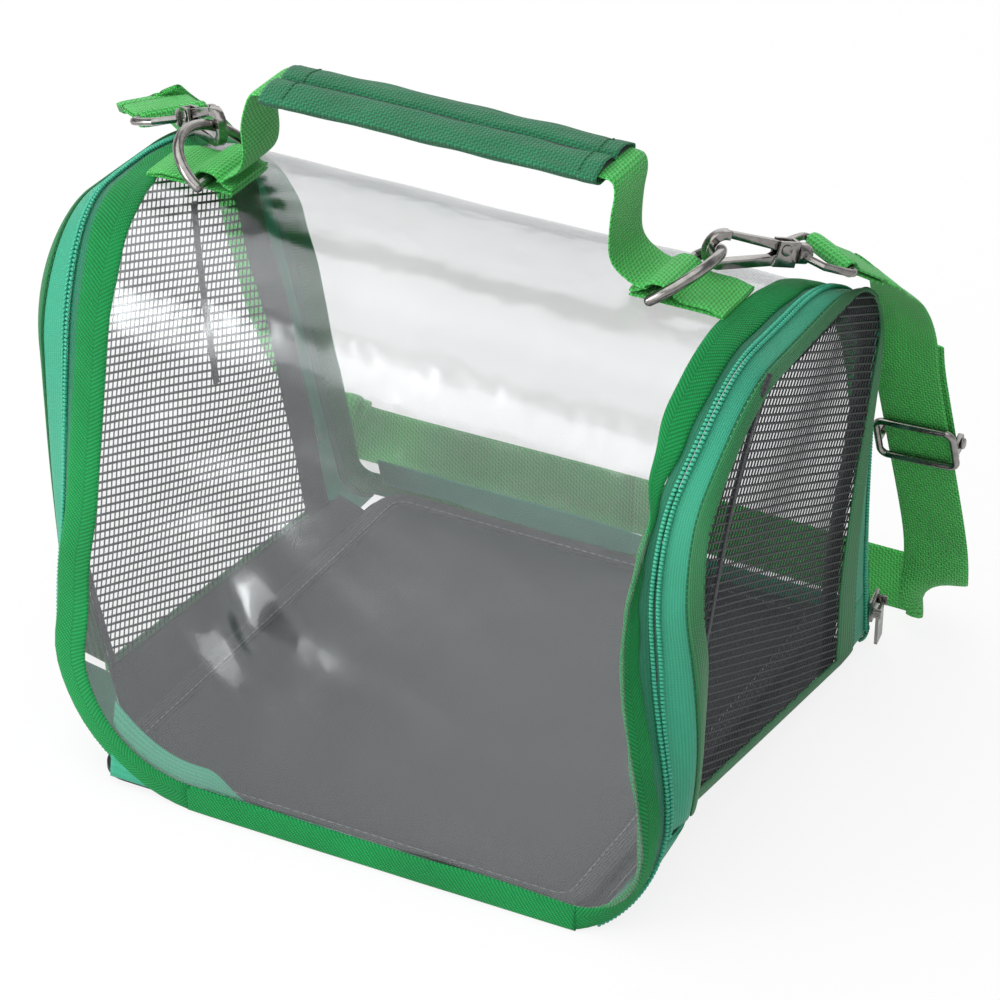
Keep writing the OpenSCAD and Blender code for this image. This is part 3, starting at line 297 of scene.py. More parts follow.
def stripes(tree, vector, pitch_mm, axis="X", shift=-math.pi / 2):
    """(1 + sin) / 2 along one axis, one wave for each pitch."""
    wave = {"Vector": vector, "Scale": TAU / 20 / (pitch_mm * MM), "Phase Offset": shift}
    return add(tree, "TexWave", wave, out=1, bands_direction=axis)


def herringbone_tape(name, dark, light, pitch=1.15, depth=0.3, roughness=0.7):
    """Woven polyester binding: twill ribs of small shiny stitches that meet in a spine."""
    mat, tree, shader = finish_of(name, Roughness=roughness, Sheen_Weight=0.03, Sheen_Roughness=0.4)
    shader.inputs["Specular IOR Level"].default_value = 0.25
    uv = add(tree, "TexCoord", out="UV")
    parts = tree.nodes.new("ShaderNodeSeparateXYZ")
    tree.links.new(uv, parts.inputs[0])
    folded = add(tree, "Math", {0: parts.outputs[1]}, operation="ABSOLUTE")
    mirrored = add(tree, "CombineXYZ", {0: parts.outputs[0], 1: folded})
    turned = add(tree, "Mapping", {"Vector": mirrored, "Rotation": (0, 0, math.radians(40))})
    ribs = stripes(tree, turned, pitch)
    threads = stripes(tree, turned, pitch * 0.6, "Y")
    spine = add(tree, "MapRange", {0: folded, 1: 0.0, 2: 0.0005, 3: 0.3, 4: 1.0})
    height = add(tree, "Math", {0: ribs, 1: threads, 2: 0.0}, operation="MULTIPLY_ADD")
    height = add(tree, "Math", {0: ribs, 1: 0.3, 2: height}, operation="MULTIPLY_ADD")
    height = add(tree, "Math", {0: height, 1: spine}, operation="MULTIPLY")
    dress(tree, shader, dark, light, height, height, depth)
    return mat


def basket_tape(name, dark, light, pitch=1.5, depth=0.35, roughness=0.6, wear=0.1):
    """Polypropylene webbing: a basket weave of shiny bundles of thread, over and under."""
    mat, tree, shader = finish_of(name, Roughness=roughness, Sheen_Weight=0.15, Sheen_Roughness=0.4)
    uv = add(tree, "TexCoord", out="UV")
    along_it = stripes(tree, uv, pitch)
    across_it = stripes(tree, uv, pitch * 0.8, "Y")
    turned = add(tree, "Mapping", {"Vector": uv, "Scale": (1, 1.25, 1)})
    checks = add(tree, "TexChecker", {"Vector": turned, "Scale": 1 / (pitch * MM)}, out=1)
    weave = add(tree, "Mix", {0: checks, 2: along_it, 3: across_it}, data_type="FLOAT")
    dress(tree, shader, dark, light, weave, weave, depth, wear)
    return mat


def knit_tape(name, dark, light, pitch=0.9, depth=0.15, roughness=0.6):
    """Knitted zip tape: fine ribs along it and finer loops across."""
    mat, tree, shader = finish_of(name, Roughness=roughness, Sheen_Weight=0.2, Sheen_Roughness=0.4)
    uv = add(tree, "TexCoord", out="UV")
    ribs = stripes(tree, uv, pitch, "Y")
    loops = stripes(tree, uv, pitch * 0.7, "X")
    height = add(tree, "Math", {0: ribs, 1: loops, 2: 0.0}, operation="MULTIPLY_ADD")
    dress(tree, shader, dark, light, height, height, depth, 0.06)
    return mat


def coated_cloth(name, dark, light, depth=0.06, roughness=0.55):
    """Coated polyester: a smooth, faintly shiny face with the weave just showing through."""
    mat, tree, shader = finish_of(name, Roughness=roughness, Specular_IOR_Level=0.3)
    place = add(tree, "TexCoord", out="Object")
    warp = stripes(tree, place, 0.9)
    weft = stripes(tree, place, 0.9, "Y")
    grain = add(tree, "Math", {0: warp, 1: weft}, operation="MULTIPLY")
    cloud = add(tree, "TexNoise", {"Vector": place, "Scale": 60.0, "Detail": 4.0})
    height = add(tree, "Math", {0: cloud, 1: 1.5, 2: grain}, operation="MULTIPLY_ADD")
    dress(tree, shader, dark, light, cloud, height, depth, 0.08, 60)
    return mat


def clear_plastic(name):
    """Clear pressed PVC sheet: a greyish mirror whose share grows from 0.12 face on to 1 edge on,
    as 0.12 + 0.88 (1 - cos)^5, over what lies behind; low wrinkles of the pressing."""
    mat, tree, shader = finish_of(name, Metallic=1.0, Roughness=0.22)
    shader.inputs["Base Color"].default_value = linear("#C6C9CB")
    facing = add(tree, "LayerWeight", {"Blend": 0.5}, out=1)
    steep = add(tree, "Math", {0: facing, 1: 5.0}, operation="POWER")
    alpha = add(tree, "MapRange", {0: steep, 1: 0.0, 2: 1.0, 3: 0.12, 4: 1.0})
    tree.links.new(alpha, shader.inputs["Alpha"])
    place = add(tree, "TexCoord", out="Object")
    cloud = add(tree, "TexNoise", {"Vector": place, "Scale": 45.0, "Detail": 2.0})
    tree.links.new(add(tree, "Bump", {"Height": cloud, "Distance": 0.0012}), shader.inputs["Normal"])
    return mat


def nickel_plate(name):
    """Cast zinc with black nickel plating, polished: dark grey with clear highlights."""
    mat, tree, shader = finish_of(name, Metallic=1.0, Roughness=0.2)
    place = add(tree, "TexCoord", out="Object")
    smear = add(tree, "TexNoise", {"Vector": place, "Scale": 400.0, "Detail": 2.0})
    tone = add(tree, "Mix", {0: smear, 6: linear("#6E6B69"), 7: linear("#A8A5A2")}, out=2, data_type="RGBA")
    tree.links.new(tone, shader.inputs["Base Color"])
    rough = add(tree, "MapRange", {0: smear, 1: 0.3, 2: 0.7, 3: 0.14, 4: 0.28})
    tree.links.new(rough, shader.inputs["Roughness"])
    return mat


def plain_moulded(name, dark, light, size_mm, depth, roughness):
    """A fine random grain, as on extruded threads, foam or pressed board."""
    mat, tree, shader = finish_of(name, Roughness=roughness)
    place = add(tree, "TexCoord", out="Object")
    grain = add(tree, "TexNoise", {"Vector": place, "Scale": 1000 / size_mm, "Detail": 3.0})
    dress(tree, shader, dark, light, grain, grain, depth, 0.06)
    return mat


CLEAR = clear_plastic("clear_pvc_sheet")
BINDING = herringbone_tape("herringbone_binding", "#067036", "#16A856")
MINT = knit_tape("knitted_mint_tape", "#239372", "#37B48E")
# Painted shade: a darker copy of the mint zip tape, for the body-side tape that lies in the shaded groove
# beside the binding.
PAINTED_SHADE_MINT = knit_tape("shaded_mint_tape", "#0B6A4C", "#128A66")
COIL = plain_moulded("nylon_coil", "#1E8F70", "#4CC4A2", 0.8, 0.05, 0.35)
DOOR_TRIM = knit_tape("ribbed_door_binding", "#0E6B38", "#229652", 1.1, 0.3)
NET = plain_moulded("extruded_net_thread", "#202225", "#34373B", 2.0, 0.05, 0.6)
LINING = basket_tape("grey_lining_tape", "#1F2124", "#34363A", 1.2, 0.2, 0.75)
FLOOR = coated_cloth("coated_floor_fabric", "#26282B", "#323438")
FLOOR_EDGE = knit_tape("ribbed_floor_tape", "#242629", "#3A3C40", 1.2, 0.3, 0.75)
WEB = basket_tape("polypropylene_webbing", "#2A9638", "#52D763", 1.25)
SLEEVE = basket_tape("woven_grip_sleeve", "#0E5A38", "#1F8459", 1.3, 0.3, 0.75)
FOAM = plain_moulded("grey_foam", "#3C3E42", "#55575B", 1.0, 0.3, 0.9)
BOARD = plain_moulded("pressed_board", "#2C2D30", "#3B3D41", 1.5, 0.1, 0.8)
NICKEL = nickel_plate("black_nickel_plate")
THREAD_GREEN = plain_moulded("green_sewing_thread", "#0A4F2A", "#0F6A38", 0.6, 0.05, 0.6)
THREAD_GREY = plain_moulded("grey_sewing_thread", "#74777C", "#8F9296", 0.6, 0.05, 0.6)
THREAD_DARK = plain_moulded("black_sewing_thread", "#121315", "#1C1D20", 0.6, 0.05, 0.7)

# Sizes in mm, as in the solids.
COVER_HALF, FRONT_D, BACK_D, RIDGE = 107.0, 112.0, 114.0, 201.0
NOSE_R, TAIL_R, CORNER_B = 46.0, 113.0, 6.0
NOSE_C, TAIL_C = vec(-45, RIDGE - NOSE_R), vec(-34, RIDGE - TAIL_R)
BIND_W, BIND_THICK, BIND_COLUMNS, HEM_DROP = 10.0, 2.4, 15, 0.3
SILL_FRONT = {RIGHT: vec(115, -72, 33), LEFT: vec(113, -66, 16)}
SILL_BACK = vec(110, 87, 6)
DOOR_TOP = {RIGHT: vec(133, 10, 189), LEFT: vec(132, 10, 189)}
DOOR_NOSE_R, DOOR_TAIL_R = 36.0, 46.0
DOOR_NOSE_C, DOOR_TAIL_C = vec(-47, 189 - DOOR_NOSE_R), vec(10, 189 - DOOR_TAIL_R)
LINE_N, NOSE_N, TOP_N, TAIL_N, FOOT_N = 44, 36, 14, 44, 14


def touch(p, c, r, way):
    """Angle at which a line from p touches the circle about c."""
    d = p - c
    return math.atan2(d[1], d[0]) + way * math.acos(r / math.hypot(*d))


def bow(c, r, a, b, n):
    """Points of the circle about c, from angle a to b in n steps."""
    t = np.linspace(a, b, n + 1)
    return c + r * np.stack([np.cos(t), np.sin(t)], 1)


def arch(front, back, nose, nose_r, tail, tail_r):
    """Foot, tangent, front bend, ridge, back bend, tangent and foot, as points [y, z]."""
    a, b = touch(front, nose, nose_r, -1) + TAU, touch(back, tail, tail_r, 1)
    first, last = bow(nose, nose_r, a, math.pi / 2, NOSE_N), bow(tail, tail_r, math.pi / 2, b, TAIL_N)
    up = mix(front, first[0], np.linspace(0, 1, LINE_N + 1)[:-1, None])
    top = mix(first[-1], last[0], np.linspace(0, 1, TOP_N + 1)[1:-1, None])
    down = mix(last[-1], back, np.linspace(0, 1, LINE_N + 1)[1:, None])
    return np.concatenate([up, first, top, last, down])


FRONT_A = touch(vec(-FRONT_D, 0), NOSE_C, NOSE_R, -1) + TAU
BACK_A = touch(vec(BACK_D, 0), TAIL_C, TAIL_R, 1)
FOOT_BZ = BIND_W + CORNER_B
CORNER_X, CORNER_Z = {RIGHT: 22.0, LEFT: 45.0}, {RIGHT: 22.0, LEFT: 40.0}


def front_y(z):
    return -FRONT_D - z * math.tan(FRONT_A)


def back_y(z):
    return BACK_D - z * math.tan(BACK_A)


# Turns of the curled corners, row by row: at the front from a quarter turn down to near none, at
# the back the other way.
FRONT_TURN = np.linspace(1, 0, FOOT_N + 1)[:-1] * math.pi / 2
BACK_TURN = np.linspace(0, 1, FOOT_N + 1)[1:] * math.pi / 2
MAIN_N = 2 * LINE_N + NOSE_N + TOP_N + TAIL_N + 1
FIRST, LAST = FOOT_N, FOOT_N + MAIN_N - 1
# The front legs sway as on the photographed one: the way outwards of the sheet's edge and of the
# binding's edge, and the way back of the door's edge, each at the heights beside it.
SWAY_Z = {RIGHT: vec(30, 39, 56, 91, 119, 150, 180, 205), LEFT: vec(30, 50, 72, 100, 140, 180, 205)}
SHEET_SWAY = {RIGHT: vec(8.5, 8, 4.3, -3.9, -5.3, -0.8, -2, -2),
              LEFT: vec(-9.4, -9.4, -9.4, -11.2, -11.8, -12.8, -12.8)}
BIND_SWAY = {RIGHT: vec(3.5, 3.5, 0.8, -7.9, -10.6, -8.3, -3.1, -2), LEFT: vec(0, 0, 0, 0, 0, 0, 0)}
DOOR_SWAY = {RIGHT: vec(12, 12, 10.5, 6, -3, -6.5, 0, 0), LEFT: vec(0, 0, 0, 0, 0, 0, 0)}
# The right back leg leans forward, as pairs of a height and the way there.
BACK_LEAN = ((0, 14), (20, 15), (40, 17), (60, 17), (100, 13), (136, 7), (175, 0), (200, 0))
BACK_SWAY = spline(np.array(BACK_LEAN, float), 8)
# Where the band's outer edge and the side flaps meet the bottom.
FOOT_FRONT, FOOT_BACK = {RIGHT: vec(99.5, -100, 1.8), LEFT: vec(88, -92, 1.8)}, vec(99.5, 92, 1.8)
FLAP_FRONT, FLAP_BACK = {RIGHT: vec(96.6, -103, 0.9), LEFT: vec(90, -88, 0.9)}, vec(96.6, 96, 0.9)


def sway(side, table, z):
    """The table's curve at the heights z, faded out row by row from the front bend to past the ridge."""
    curve = spline(np.stack([SWAY_Z[side], table[side]], 1), 12)
    fade = 1 - soft(np.arange(len(z)), FIRST + LINE_N, FIRST + LINE_N + NOSE_N + TOP_N + 8)
    return np.interp(z, curve[:, 0], curve[:, 1]) * fade


def cover_edge(side):
    """The clear sheet's edge, on the right: corner curled under, arch, corner curled under."""
    a, b = FRONT_TURN, BACK_TURN
    rx, rz = CORNER_X[side], CORNER_Z[side]
    foot = BIND_W + rz
    zf, zb = foot - rz * np.sin(a), FOOT_BZ - CORNER_B * np.sin(b)
    main = arch(vec(front_y(foot), foot), vec(back_y(FOOT_BZ), FOOT_BZ), NOSE_C, NOSE_R, TAIL_C, TAIL_R)
    edge = np.concatenate([
        np.stack([COVER_HALF - rx * (1 - np.cos(a)), front_y(zf), zf], 1),
        np.concatenate([np.full((len(main), 1), COVER_HALF), main], 1),
        np.stack([COVER_HALF - CORNER_B * (1 - np.cos(b)), back_y(zb), zb], 1)])
    edge[:, 0] += sway(side, SHEET_SWAY, np.maximum(edge[:, 2], foot))
    return edge


def door_axes(side):
    """The flat door's corner at the sill's front, and its ways along the sill, up and out."""
    o = SILL_FRONT[side]
    u = unit(SILL_BACK - o)
    w = DOOR_TOP[side] - SILL_BACK
    v = unit(w - u * (w @ u))
    return o, u, v, np.cross(u, v)


def on_door(side, yz):
    """The point of the door's plane at y and z."""
    n = door_axes(side)[3]
    x = SILL_BACK[0] - (n[1] * (yz[..., 0] - SILL_BACK[1]) + n[2] * (yz[..., 1] - SILL_BACK[2])) / n[0]
    return np.concatenate([x[..., None], yz], -1)


def door_stations(side):
    """The door's edge, with a curled corner row by row at both feet down to the bottom."""
    s = SILL_FRONT[side]
    e = on_door(side, arch(s[1:], SILL_BACK[1:], DOOR_NOSE_C, DOOR_NOSE_R, DOOR_TAIL_C, DOOR_TAIL_R))
    a, b = np.sin(FRONT_TURN)[:, None], np.sin(BACK_TURN)[:, None]
    rows = np.concatenate([mix(e[0], FOOT_FRONT[side], a), e, mix(e[-1], FOOT_BACK, b)])
    rows[:, 1] += sway(side, DOOR_SWAY, rows[:, 2]) * soft(rows[:, 2], 0, 30)
    if side == RIGHT:
        back = slice(FIRST + LINE_N + NOSE_N + TOP_N, LAST + 1)
        rows[back, 1] -= np.interp(rows[back, 2], BACK_SWAY[:, 0], BACK_SWAY[:, 1])
    return rows


def binding_edge(side):
    """Outer edge of the arch binding: a quarter of the way to the door and a little outwards. The
    left front leg's binding faces the front and keeps its width."""
    a, b = cover_edge(side), door_stations(side)
    plain = a - vec(1, 0, 0) * sway(side, SHEET_SWAY, np.maximum(a[:, 2], BIND_W + CORNER_Z[side]))[:, None]
    out = plain + (b - plain) * 0.27 + vec(3.4, 0, 0)
    out[:, 0] += sway(side, BIND_SWAY, out[:, 2])
    if side == LEFT:
        back = 0.12 * (b - a)[:, 1]
        flat = a + np.stack([12.3 + 0.49 * back, back, 0 * back], 1)
        front = 1 - soft(a[:, 1], -100, -10)
        out = mix(out, flat, front[:, None])
    under = vec(0, 0, BIND_W - HEM_DROP)
    t = FRONT_TURN[:, None]
    out[:FIRST] = a[:FIRST] + (out[FIRST] - a[FIRST]) * np.cos(t) - under * np.sin(t)
    t = BACK_TURN[:, None]
    out[LAST + 1:] = a[LAST + 1:] + (out[LAST] - a[LAST]) * np.cos(t) - under * np.sin(t)
    return out


RECESS = {RIGHT: 0.02, LEFT: 0.03}


def mesh_edge(side):
    """Outline of the net: nearly the door's edge, set back from the door's plane by a share of the
    height."""
    e, d = binding_edge(side), door_stations(side)
    rows = np.arange(len(e))
    m = mix(d, e, (0.2 * soft(np.minimum(rows - FIRST, LAST - rows), 0, 16))[:, None] * (side == LEFT))
    m[:, 0] = d[:, 0] - RECESS[side] * np.maximum(d[:, 2] - 20, 0)
    t = np.ones(len(m))
    t[:FIRST], t[LAST + 1:] = 0, 0
    return mix(d, m, t[:, None])


KNOTS = vec(0, 0.27, 0.48, 0.70, 1)


def band(side, w):
    """The padded band from the clear sheet to the net, at the shares w: a smooth curve through
    the sheet's edge, the binding's edge, the zip, the mint tape's crest and the net's edge."""
    a, e, d, m = cover_edge(side), binding_edge(side), door_stations(side), mesh_edge(side)
    full = np.ones((len(a), 1))
    full[:FIRST, 0] = np.cos(FRONT_TURN)
    full[LAST + 1:, 0] = np.cos(BACK_TURN)
    zip_line = mix(e, d, 0.27) + vec(1.5, 0, 0) * full
    crest = mix(e, d, 0.52) + vec(1.5, 0, 0) * full
    front = 1 - soft(np.arange(len(a)), FIRST + LINE_N, FIRST + LINE_N + NOSE_N)
    if side == RIGHT:
        zip_line[:, 0] += 2.4 * bump(a[:, 2], 103, 28) * front
        crest[:, 0] += 4.2 * bump(a[:, 2], 75, 50) * front
    else:
        crest[:, 0] += 5.3 * bump(a[:, 2], 100, 70) * front
    q = np.stack([a, e, zip_line, crest, m])
    slope = np.gradient(q, KNOTS, axis=0)
    k = np.clip(np.searchsorted(KNOTS, w, side="right") - 1, 0, len(KNOTS) - 2)
    h = (KNOTS[k + 1] - KNOTS[k])
    t = ((w - KNOTS[k]) / h)[:, None, None]
    h = h[:, None, None]
    line = ((2 * t**3 - 3 * t**2 + 1) * q[k] + (t**3 - 2 * t**2 + t) * h * slope[k]
            + (3 * t**2 - 2 * t**3) * q[k + 1] + (t**3 - t**2) * h * slope[k + 1])
    return np.moveaxis(line, 0, 1)


def band_strip(side, w0, w1, columns=11, rows=slice(None)):
    """Grid of the band between two of its shares."""
    return band(side, mix(w0, w1, cosine_shares(columns)))[rows]


# Clear sheet.
def clear_sheet():
    """Sheet between the two arches. Each row runs from the left edge to the right one, and the
    wrinkles move it along its normal: long soft waves everywhere, and crumples low on the left."""
    r, l = cover_edge(RIGHT), cover_edge(LEFT) * vec(-1, 1, 1)
    tuck = vec(1.5, 0, 0)
    s = np.linspace(0, 1, 220)
    base = mix((l - tuck)[:, None], (r + tuck)[:, None], s[None, :, None])
    n = grid_normals(base)
    far = travel(r)[:, None]
    x = base[..., 0]
    free = np.sqrt(np.sin(np.pi * s))[None, :] * soft(far, 8, 40) * soft(far[-1] - far, 8, 40)
    lower = bump(far, 64, 36) * bump(x, -22, 44)
    shoulder = bump(far, 118, 36) * bump(x, -55, 30)
    height = 0.8 * ripple(x, far * 0.7, 120, 1) + 0.16 * ripple(x, far, 45, 2)
    height = height + 2.3 * lower * ripple(x, far, 36, 3) + 1.1 * shoulder * ripple(x, far, 30, 4)
    height = height + 0.5 * bump(far, 235, 25) * bump(x, -70, 25) * ripple(x, far, 18, 6)
    height = height - 2.5 * bump(far, 150, 24) * bump(x, -35, 34)
    base = base + n * (free * height)[..., None]
    sheet = tape("wrinkled_clear_sheet", base, 0.5, CLEAR, "carrier", sharp=60,
                 stands_for=("clear_cover",), slot="clear_sheet")


# Bindings, tapes and zips.
def arch_pieces(side):
    """All that is sewn along one arch. Gives the binding's grid back, for the two hems."""
    name = SIDES[side]
    base = band_strip(side, 0.0, 0.27, BIND_COLUMNS)
    calm = soft(np.arange(len(base)), 0, FOOT_N) * soft(np.arange(len(base))[::-1], 0, FOOT_N)
    base[..., 0] += 0.35 * ripple(base[..., 1], base[..., 2], 26, 11 + side) * calm[:, None]
    tape(f"{name}_bound_edge", base, BIND_THICK, BINDING, "carrier", side=side, sharp=4, spine=1.6,
         stands_for=(f"{name}_arch_binding",), slot="green_binding")
    body_end = slice(LAST - LINE_N // 6, None)
    door_rows = slice(FIRST, LAST - LINE_N // 6 + 1)
    # The body-side zip tape takes the darker mint copy: painted shade of the groove it lies in.
    tape(f"{name}_body_side_tape", band_strip(side, 0.25, 0.385), 0.7, PAINTED_SHADE_MINT, "carrier",
         side=side, lift=-0.5, stands_for=(f"{name}_body_zip_tape",), slot="mint_tape")
    for tag, rows in (("front_foot", slice(None, FIRST)), ("back_foot", body_end)):
        tape(f"{name}_{tag}_tape", band_strip(side, 0.39, 0.98, 21, rows), 0.8, MINT, "carrier", side=side,
             lift=-0.3, slot="mint_tape")
    tape(f"{name}_door_side_tape", band_strip(side, 0.39, 0.74, 21, door_rows), 0.8, MINT, f"{name}_door",
         side=side, lift=-0.3, stands_for=(f"{name}_door_zip_tape",), slot="mint_tape")
    for tag, w0, w1, rows, body, stands in (
            ("body_teeth", 0.345, 0.388, slice(3, LAST + 8), "carrier", ("_body_zip_coil",)),
            ("door_teeth", 0.395, 0.438, door_rows, f"{name}_door", ("_door_zip_coil",)),
            ("door_teeth_foot", 0.395, 0.438, slice(LAST - LINE_N // 6, LAST + 8), "carrier", ())):
        a, b = band(side, vec(w0, w1))[rows].transpose(1, 0, 2)
        count = int(travel(mix(a, b, 0.5))[-1] / 1.5)
        a, b = even(a, count), even(b, count)
        way = along(mix(a, b, 0.5))
        over = unit(b - a)
        up = unit(np.cross(over, way))
        frames = np.stack([over, way, up], 1) * vec(side, 1, 1)
        places = (mix(a, b, 0.5) + up * 0.75) * vec(side, 1, 1)
        half = float(np.linalg.norm(b - a, axis=1).mean()) / 2
        repeated(f"{name}_{tag}", places, frames, vec(-1, -0.8, 0, 0.8, 1) * half,
                 vec(0.3, 0.62, 0.66, 0.62, 0.3), 8, 1.1, COIL, body,
                 stands_for=[name + s for s in stands], slot="zip_coil")
    trim = band_strip(side, 0.735, 1.01, 13, slice(FIRST, LAST + 1))
    tape(f"{name}_ribbed_edge", trim, 1.6, DOOR_TRIM, f"{name}_door", side=side, sharp=4, lift=0.3,
         slot="door_trim")
    seam = band(side, vec(0.725))[FIRST:LAST + 1, 0]
    out = unit(np.cross(trim[:, 6] - trim[:, 5], along(trim[:, 6])))
    flip = vec(side, 1, 1)
    stitches(f"{name}_edge_stitches", (seam + out * 0.25) * flip, out * flip, 2.6, 2.1, 0.3,
             THREAD_GREEN, f"{name}_door")
    return base * flip


def hem(name, rows, out, node, seed):
    """Wavy binding along a lower edge. It starts and ends as the end rows of the two arch bindings,
    so that the corners run on, and its wave fades out toward them."""
    left, right = rows
    s = np.linspace(-0.012, 1.012, 150)[:, None, None]
    base = mix(left[None], right[None], s)
    rise = base[..., 2] / BIND_W
    calm = np.sqrt(np.sin(np.pi * np.clip(s[..., 0], 0.0, 1)))
    base[..., 1] += (0.9 * ripple(base[..., 0], 0 * rise, 60, seed) * rise + 0.4 * out) * calm
    base[..., 2] += (0.5 + 0.5 * ripple(base[..., 0], 0 * rise, 75, seed + 7)) * rise * calm
    tape(name, base, BIND_THICK, BINDING, "carrier", sharp=4, spine=40.0, stands_for=(node,),
         slot="green_binding")


def seam_strip(name, y_of, into, half, node, seed, top=None):
    """Mint tape inside a lower edge, from 3.2 mm up to the heights top(x)."""
    x = np.linspace(-half, half, 120)
    high = top(x)[:, None] if top else 14 + 0 * x[:, None]
    z = mix(3.2, high, cosine_shares(11)[None, :])
    wave = 0.5 * ripple(x, 0 * x, 50, seed)
    y = y_of(z) + into * 1.4 + into * (0.4 + 0.4 * wave[:, None]) * ((z - 3.2) / 11)
    base = np.stack(np.broadcast_arrays(x[:, None], y, z), -1)
    tape(name, base, 0.8, MINT, "carrier", sharp=6, stands_for=(node,), slot="mint_tape")


def back_rise(x):
    """Height of the back mint tape: it meets the strap behind it on the left and sinks on the right."""
    return 19.5 - 5 * soft(x, -20, 60)


def corner_rise(x):
    """Height of the mint tape: it climbs the left corner, and the hem hides it right of there."""
    return 9 + 8 * soft(-x, 30, 48) + 15 * np.maximum((-x - 52) / 34, 0) ** 2


# Doors.
def flat_of(side, p):
    """A point as its ways along the sill and up the flat door."""
    o, u, v = door_axes(side)[:3]
    return np.stack([(p - o) @ u, (p - o) @ v], -1)


def on_net(side, p, lift=0.0):
    """Point of the net at [along the sill, up the door], set back by a share of its height, with a
    slight slack."""
    o, u, v, n = door_axes(side)
    w = o + p[..., :1] * u + p[..., 1:] * v
    back = RECESS[side] * np.maximum(w[..., 2] - 20, 0)
    slack = 0.6 * ripple(p[..., 0], p[..., 1], 90, 21 + side) * np.clip(p[..., 1] / 40, 0, 1)
    return w - vec(1, 0, 0) * back[..., None] + n * (lift + slack)[..., None]


def outline(side):
    """The net's outline on the flat door, foot to foot."""
    return flat_of(side, mesh_edge(side)[FIRST:LAST + 1] + vec(1, 0, 0) * (
        RECESS[side] * np.maximum(door_stations(side)[FIRST:LAST + 1, 2] - 20, 0))[:, None])


def inset(line, by):
    """The outline moved in by the given distances, along its normals on the flat door."""
    t = along(line)
    return line + np.stack([t[:, 1], -t[:, 0]], 1) * by[:, None]


def threads(side, shape, turns, pitch, width, thick, name, body, material, **more):
    """Two families of straight threads, turned by those angles from the sill. Each thread runs
    between the outermost places where its line crosses the outline."""
    loop = np.concatenate([shape, shape[:1]])
    verts, faces, first = [], [], 0
    segments = 26
    n = door_axes(side)[3]
    for turn, lift in zip(turns, (0.1, -0.1)):
        d = vec(math.cos(math.radians(turn)), math.sin(math.radians(turn)))
        over = vec(-d[1], d[0])
        reach = loop @ over
        start = np.arange(reach.min() + 0.4, reach.max(), pitch)
        start = start + 0.08 * np.sin(start * 1.7)
        past = reach[None] - start[:, None]
        cuts = past[:, :-1] * past[:, 1:] <= 0
        share = past[:, :-1] / np.where(cuts, past[:, :-1] - past[:, 1:], 1)
        at = mix((loop @ d)[None, :-1], (loop @ d)[None, 1:], share)
        t0 = np.where(cuts, at, 1e9).min(1)
        t1 = np.where(cuts, at, -1e9).max(1)
        keep = t1 - t0 > 2
        o, t0, t1 = over * start[keep, None], t0[keep], t1[keep]
        t = mix(t0[:, None], t1[:, None], np.linspace(0, 1, segments + 1)[None])
        flat = o[:, None] + d * t[..., None]
        p = on_net(side, flat, lift)
        way = unit(np.gradient(p, axis=1))
        wide = unit(np.cross(n, way)) * width / 2
        deep = np.broadcast_to(n * thick / 2, wide.shape)
        ring = np.stack([p + wide, p + deep, p - wide, p - deep], 2) * vec(side, 1, 1)
        m, s = ring.shape[:2]
        at = first + np.arange(m * s * 4).reshape(m, s, 4)
        beside = np.roll(at, -1, axis=2)
        quads = np.stack([at[:, :-1], beside[:, :-1], beside[:, 1:], at[:, 1:]], -1).reshape(-1, 4)
        caps = np.concatenate([at[:, 0, ::-1], at[:, -1]])
        group = np.concatenate([quads, caps])
        if side == LEFT:
            group = group[:, ::-1]
        verts.append(ring.reshape(-1, 3))
        faces.append(group)
        first += m * s * 4
    verts = np.concatenate(verts)
    return piece(name, verts, np.concatenate(faces).tolist(), verts[:, 1:] * MM, material, body, **more)


# The net's two thread directions, and its seam on the flat door, along the sill and up.
TURNS = (-15, 77)
SEAM = {RIGHT: ((-12, 163), (-18, 142), (-21.5, 116), (-21, 94), (-14, 62)),
        LEFT: ((72.5, 152), (73.5, 136), (77.5, 108), (80, 79))}


def door(side):
    """Net, lining with its stitches, seam and sill binding of one door."""
    name, body = SIDES[side], f"{SIDES[side]}_door"
    shape = outline(side)
    hull = inset(shape, np.full(len(shape), -0.6))
    threads(side, hull, TURNS, 3.0, 0.95, 0.6, f"{name}_net_panel", body, NET,
            stands_for=(f"{name}_door_mesh",), slot="mesh")
    share = np.linspace(0, 1, len(shape))
    width = mix(3.0, 16.0, soft(share, 0.48, 0.62))
    w = cosine_shares(9)
    grid = np.stack([inset(shape, width * k - 1) for k in w], 1)
    grid[..., 1] = np.maximum(grid[..., 1], -0.5)
    base = on_net(side, grid, -1.4)
    tape(f"{name}_lining_strip", base, 0.8, LINING, body, side=side,
         stands_for=(f"{name}_door_lining",), slot="grey_lining")
    for tag, share_in in (("outer", 0.18), ("inner", 0.82)):
        line = inset(shape, width * share_in - 1)[len(shape) // 3:]
        line[:, 1] = np.maximum(line[:, 1], 0)
        p = on_net(side, line, -0.9) * vec(side, 1, 1)
        up = door_axes(side)[3] * vec(side, 1, 1)
        stitches(f"{name}_lining_{tag}_stitches", p, up, 3.0, 2.0, 0.3, THREAD_DARK, body)
    line = spline(np.array(SEAM[side], float), 12)
    shift = 1.5 * np.cos(np.linspace(0, math.pi, 9))
    fold = np.stack([inset(line, np.full(len(line), k)) for k in shift], 1)
    tape(f"{name}_net_seam", on_net(side, fold), 1.3, LINING, body, side=side, slot="grey_lining")
    low = np.stack([np.linspace(shape[0, 0] - 1, shape[-1, 0] + 1, 90), np.zeros(90)], 1)
    rise = np.stack([low + vec(0, k) for k in mix(-2.2, 2.2, cosine_shares(9))], 1)
    tape(f"{name}_sill_binding", on_net(side, rise, 0.5), 1.5, DOOR_TRIM, body, side=side, sharp=4,
         stands_for=(f"{name}_door_binding",), slot="door_trim")


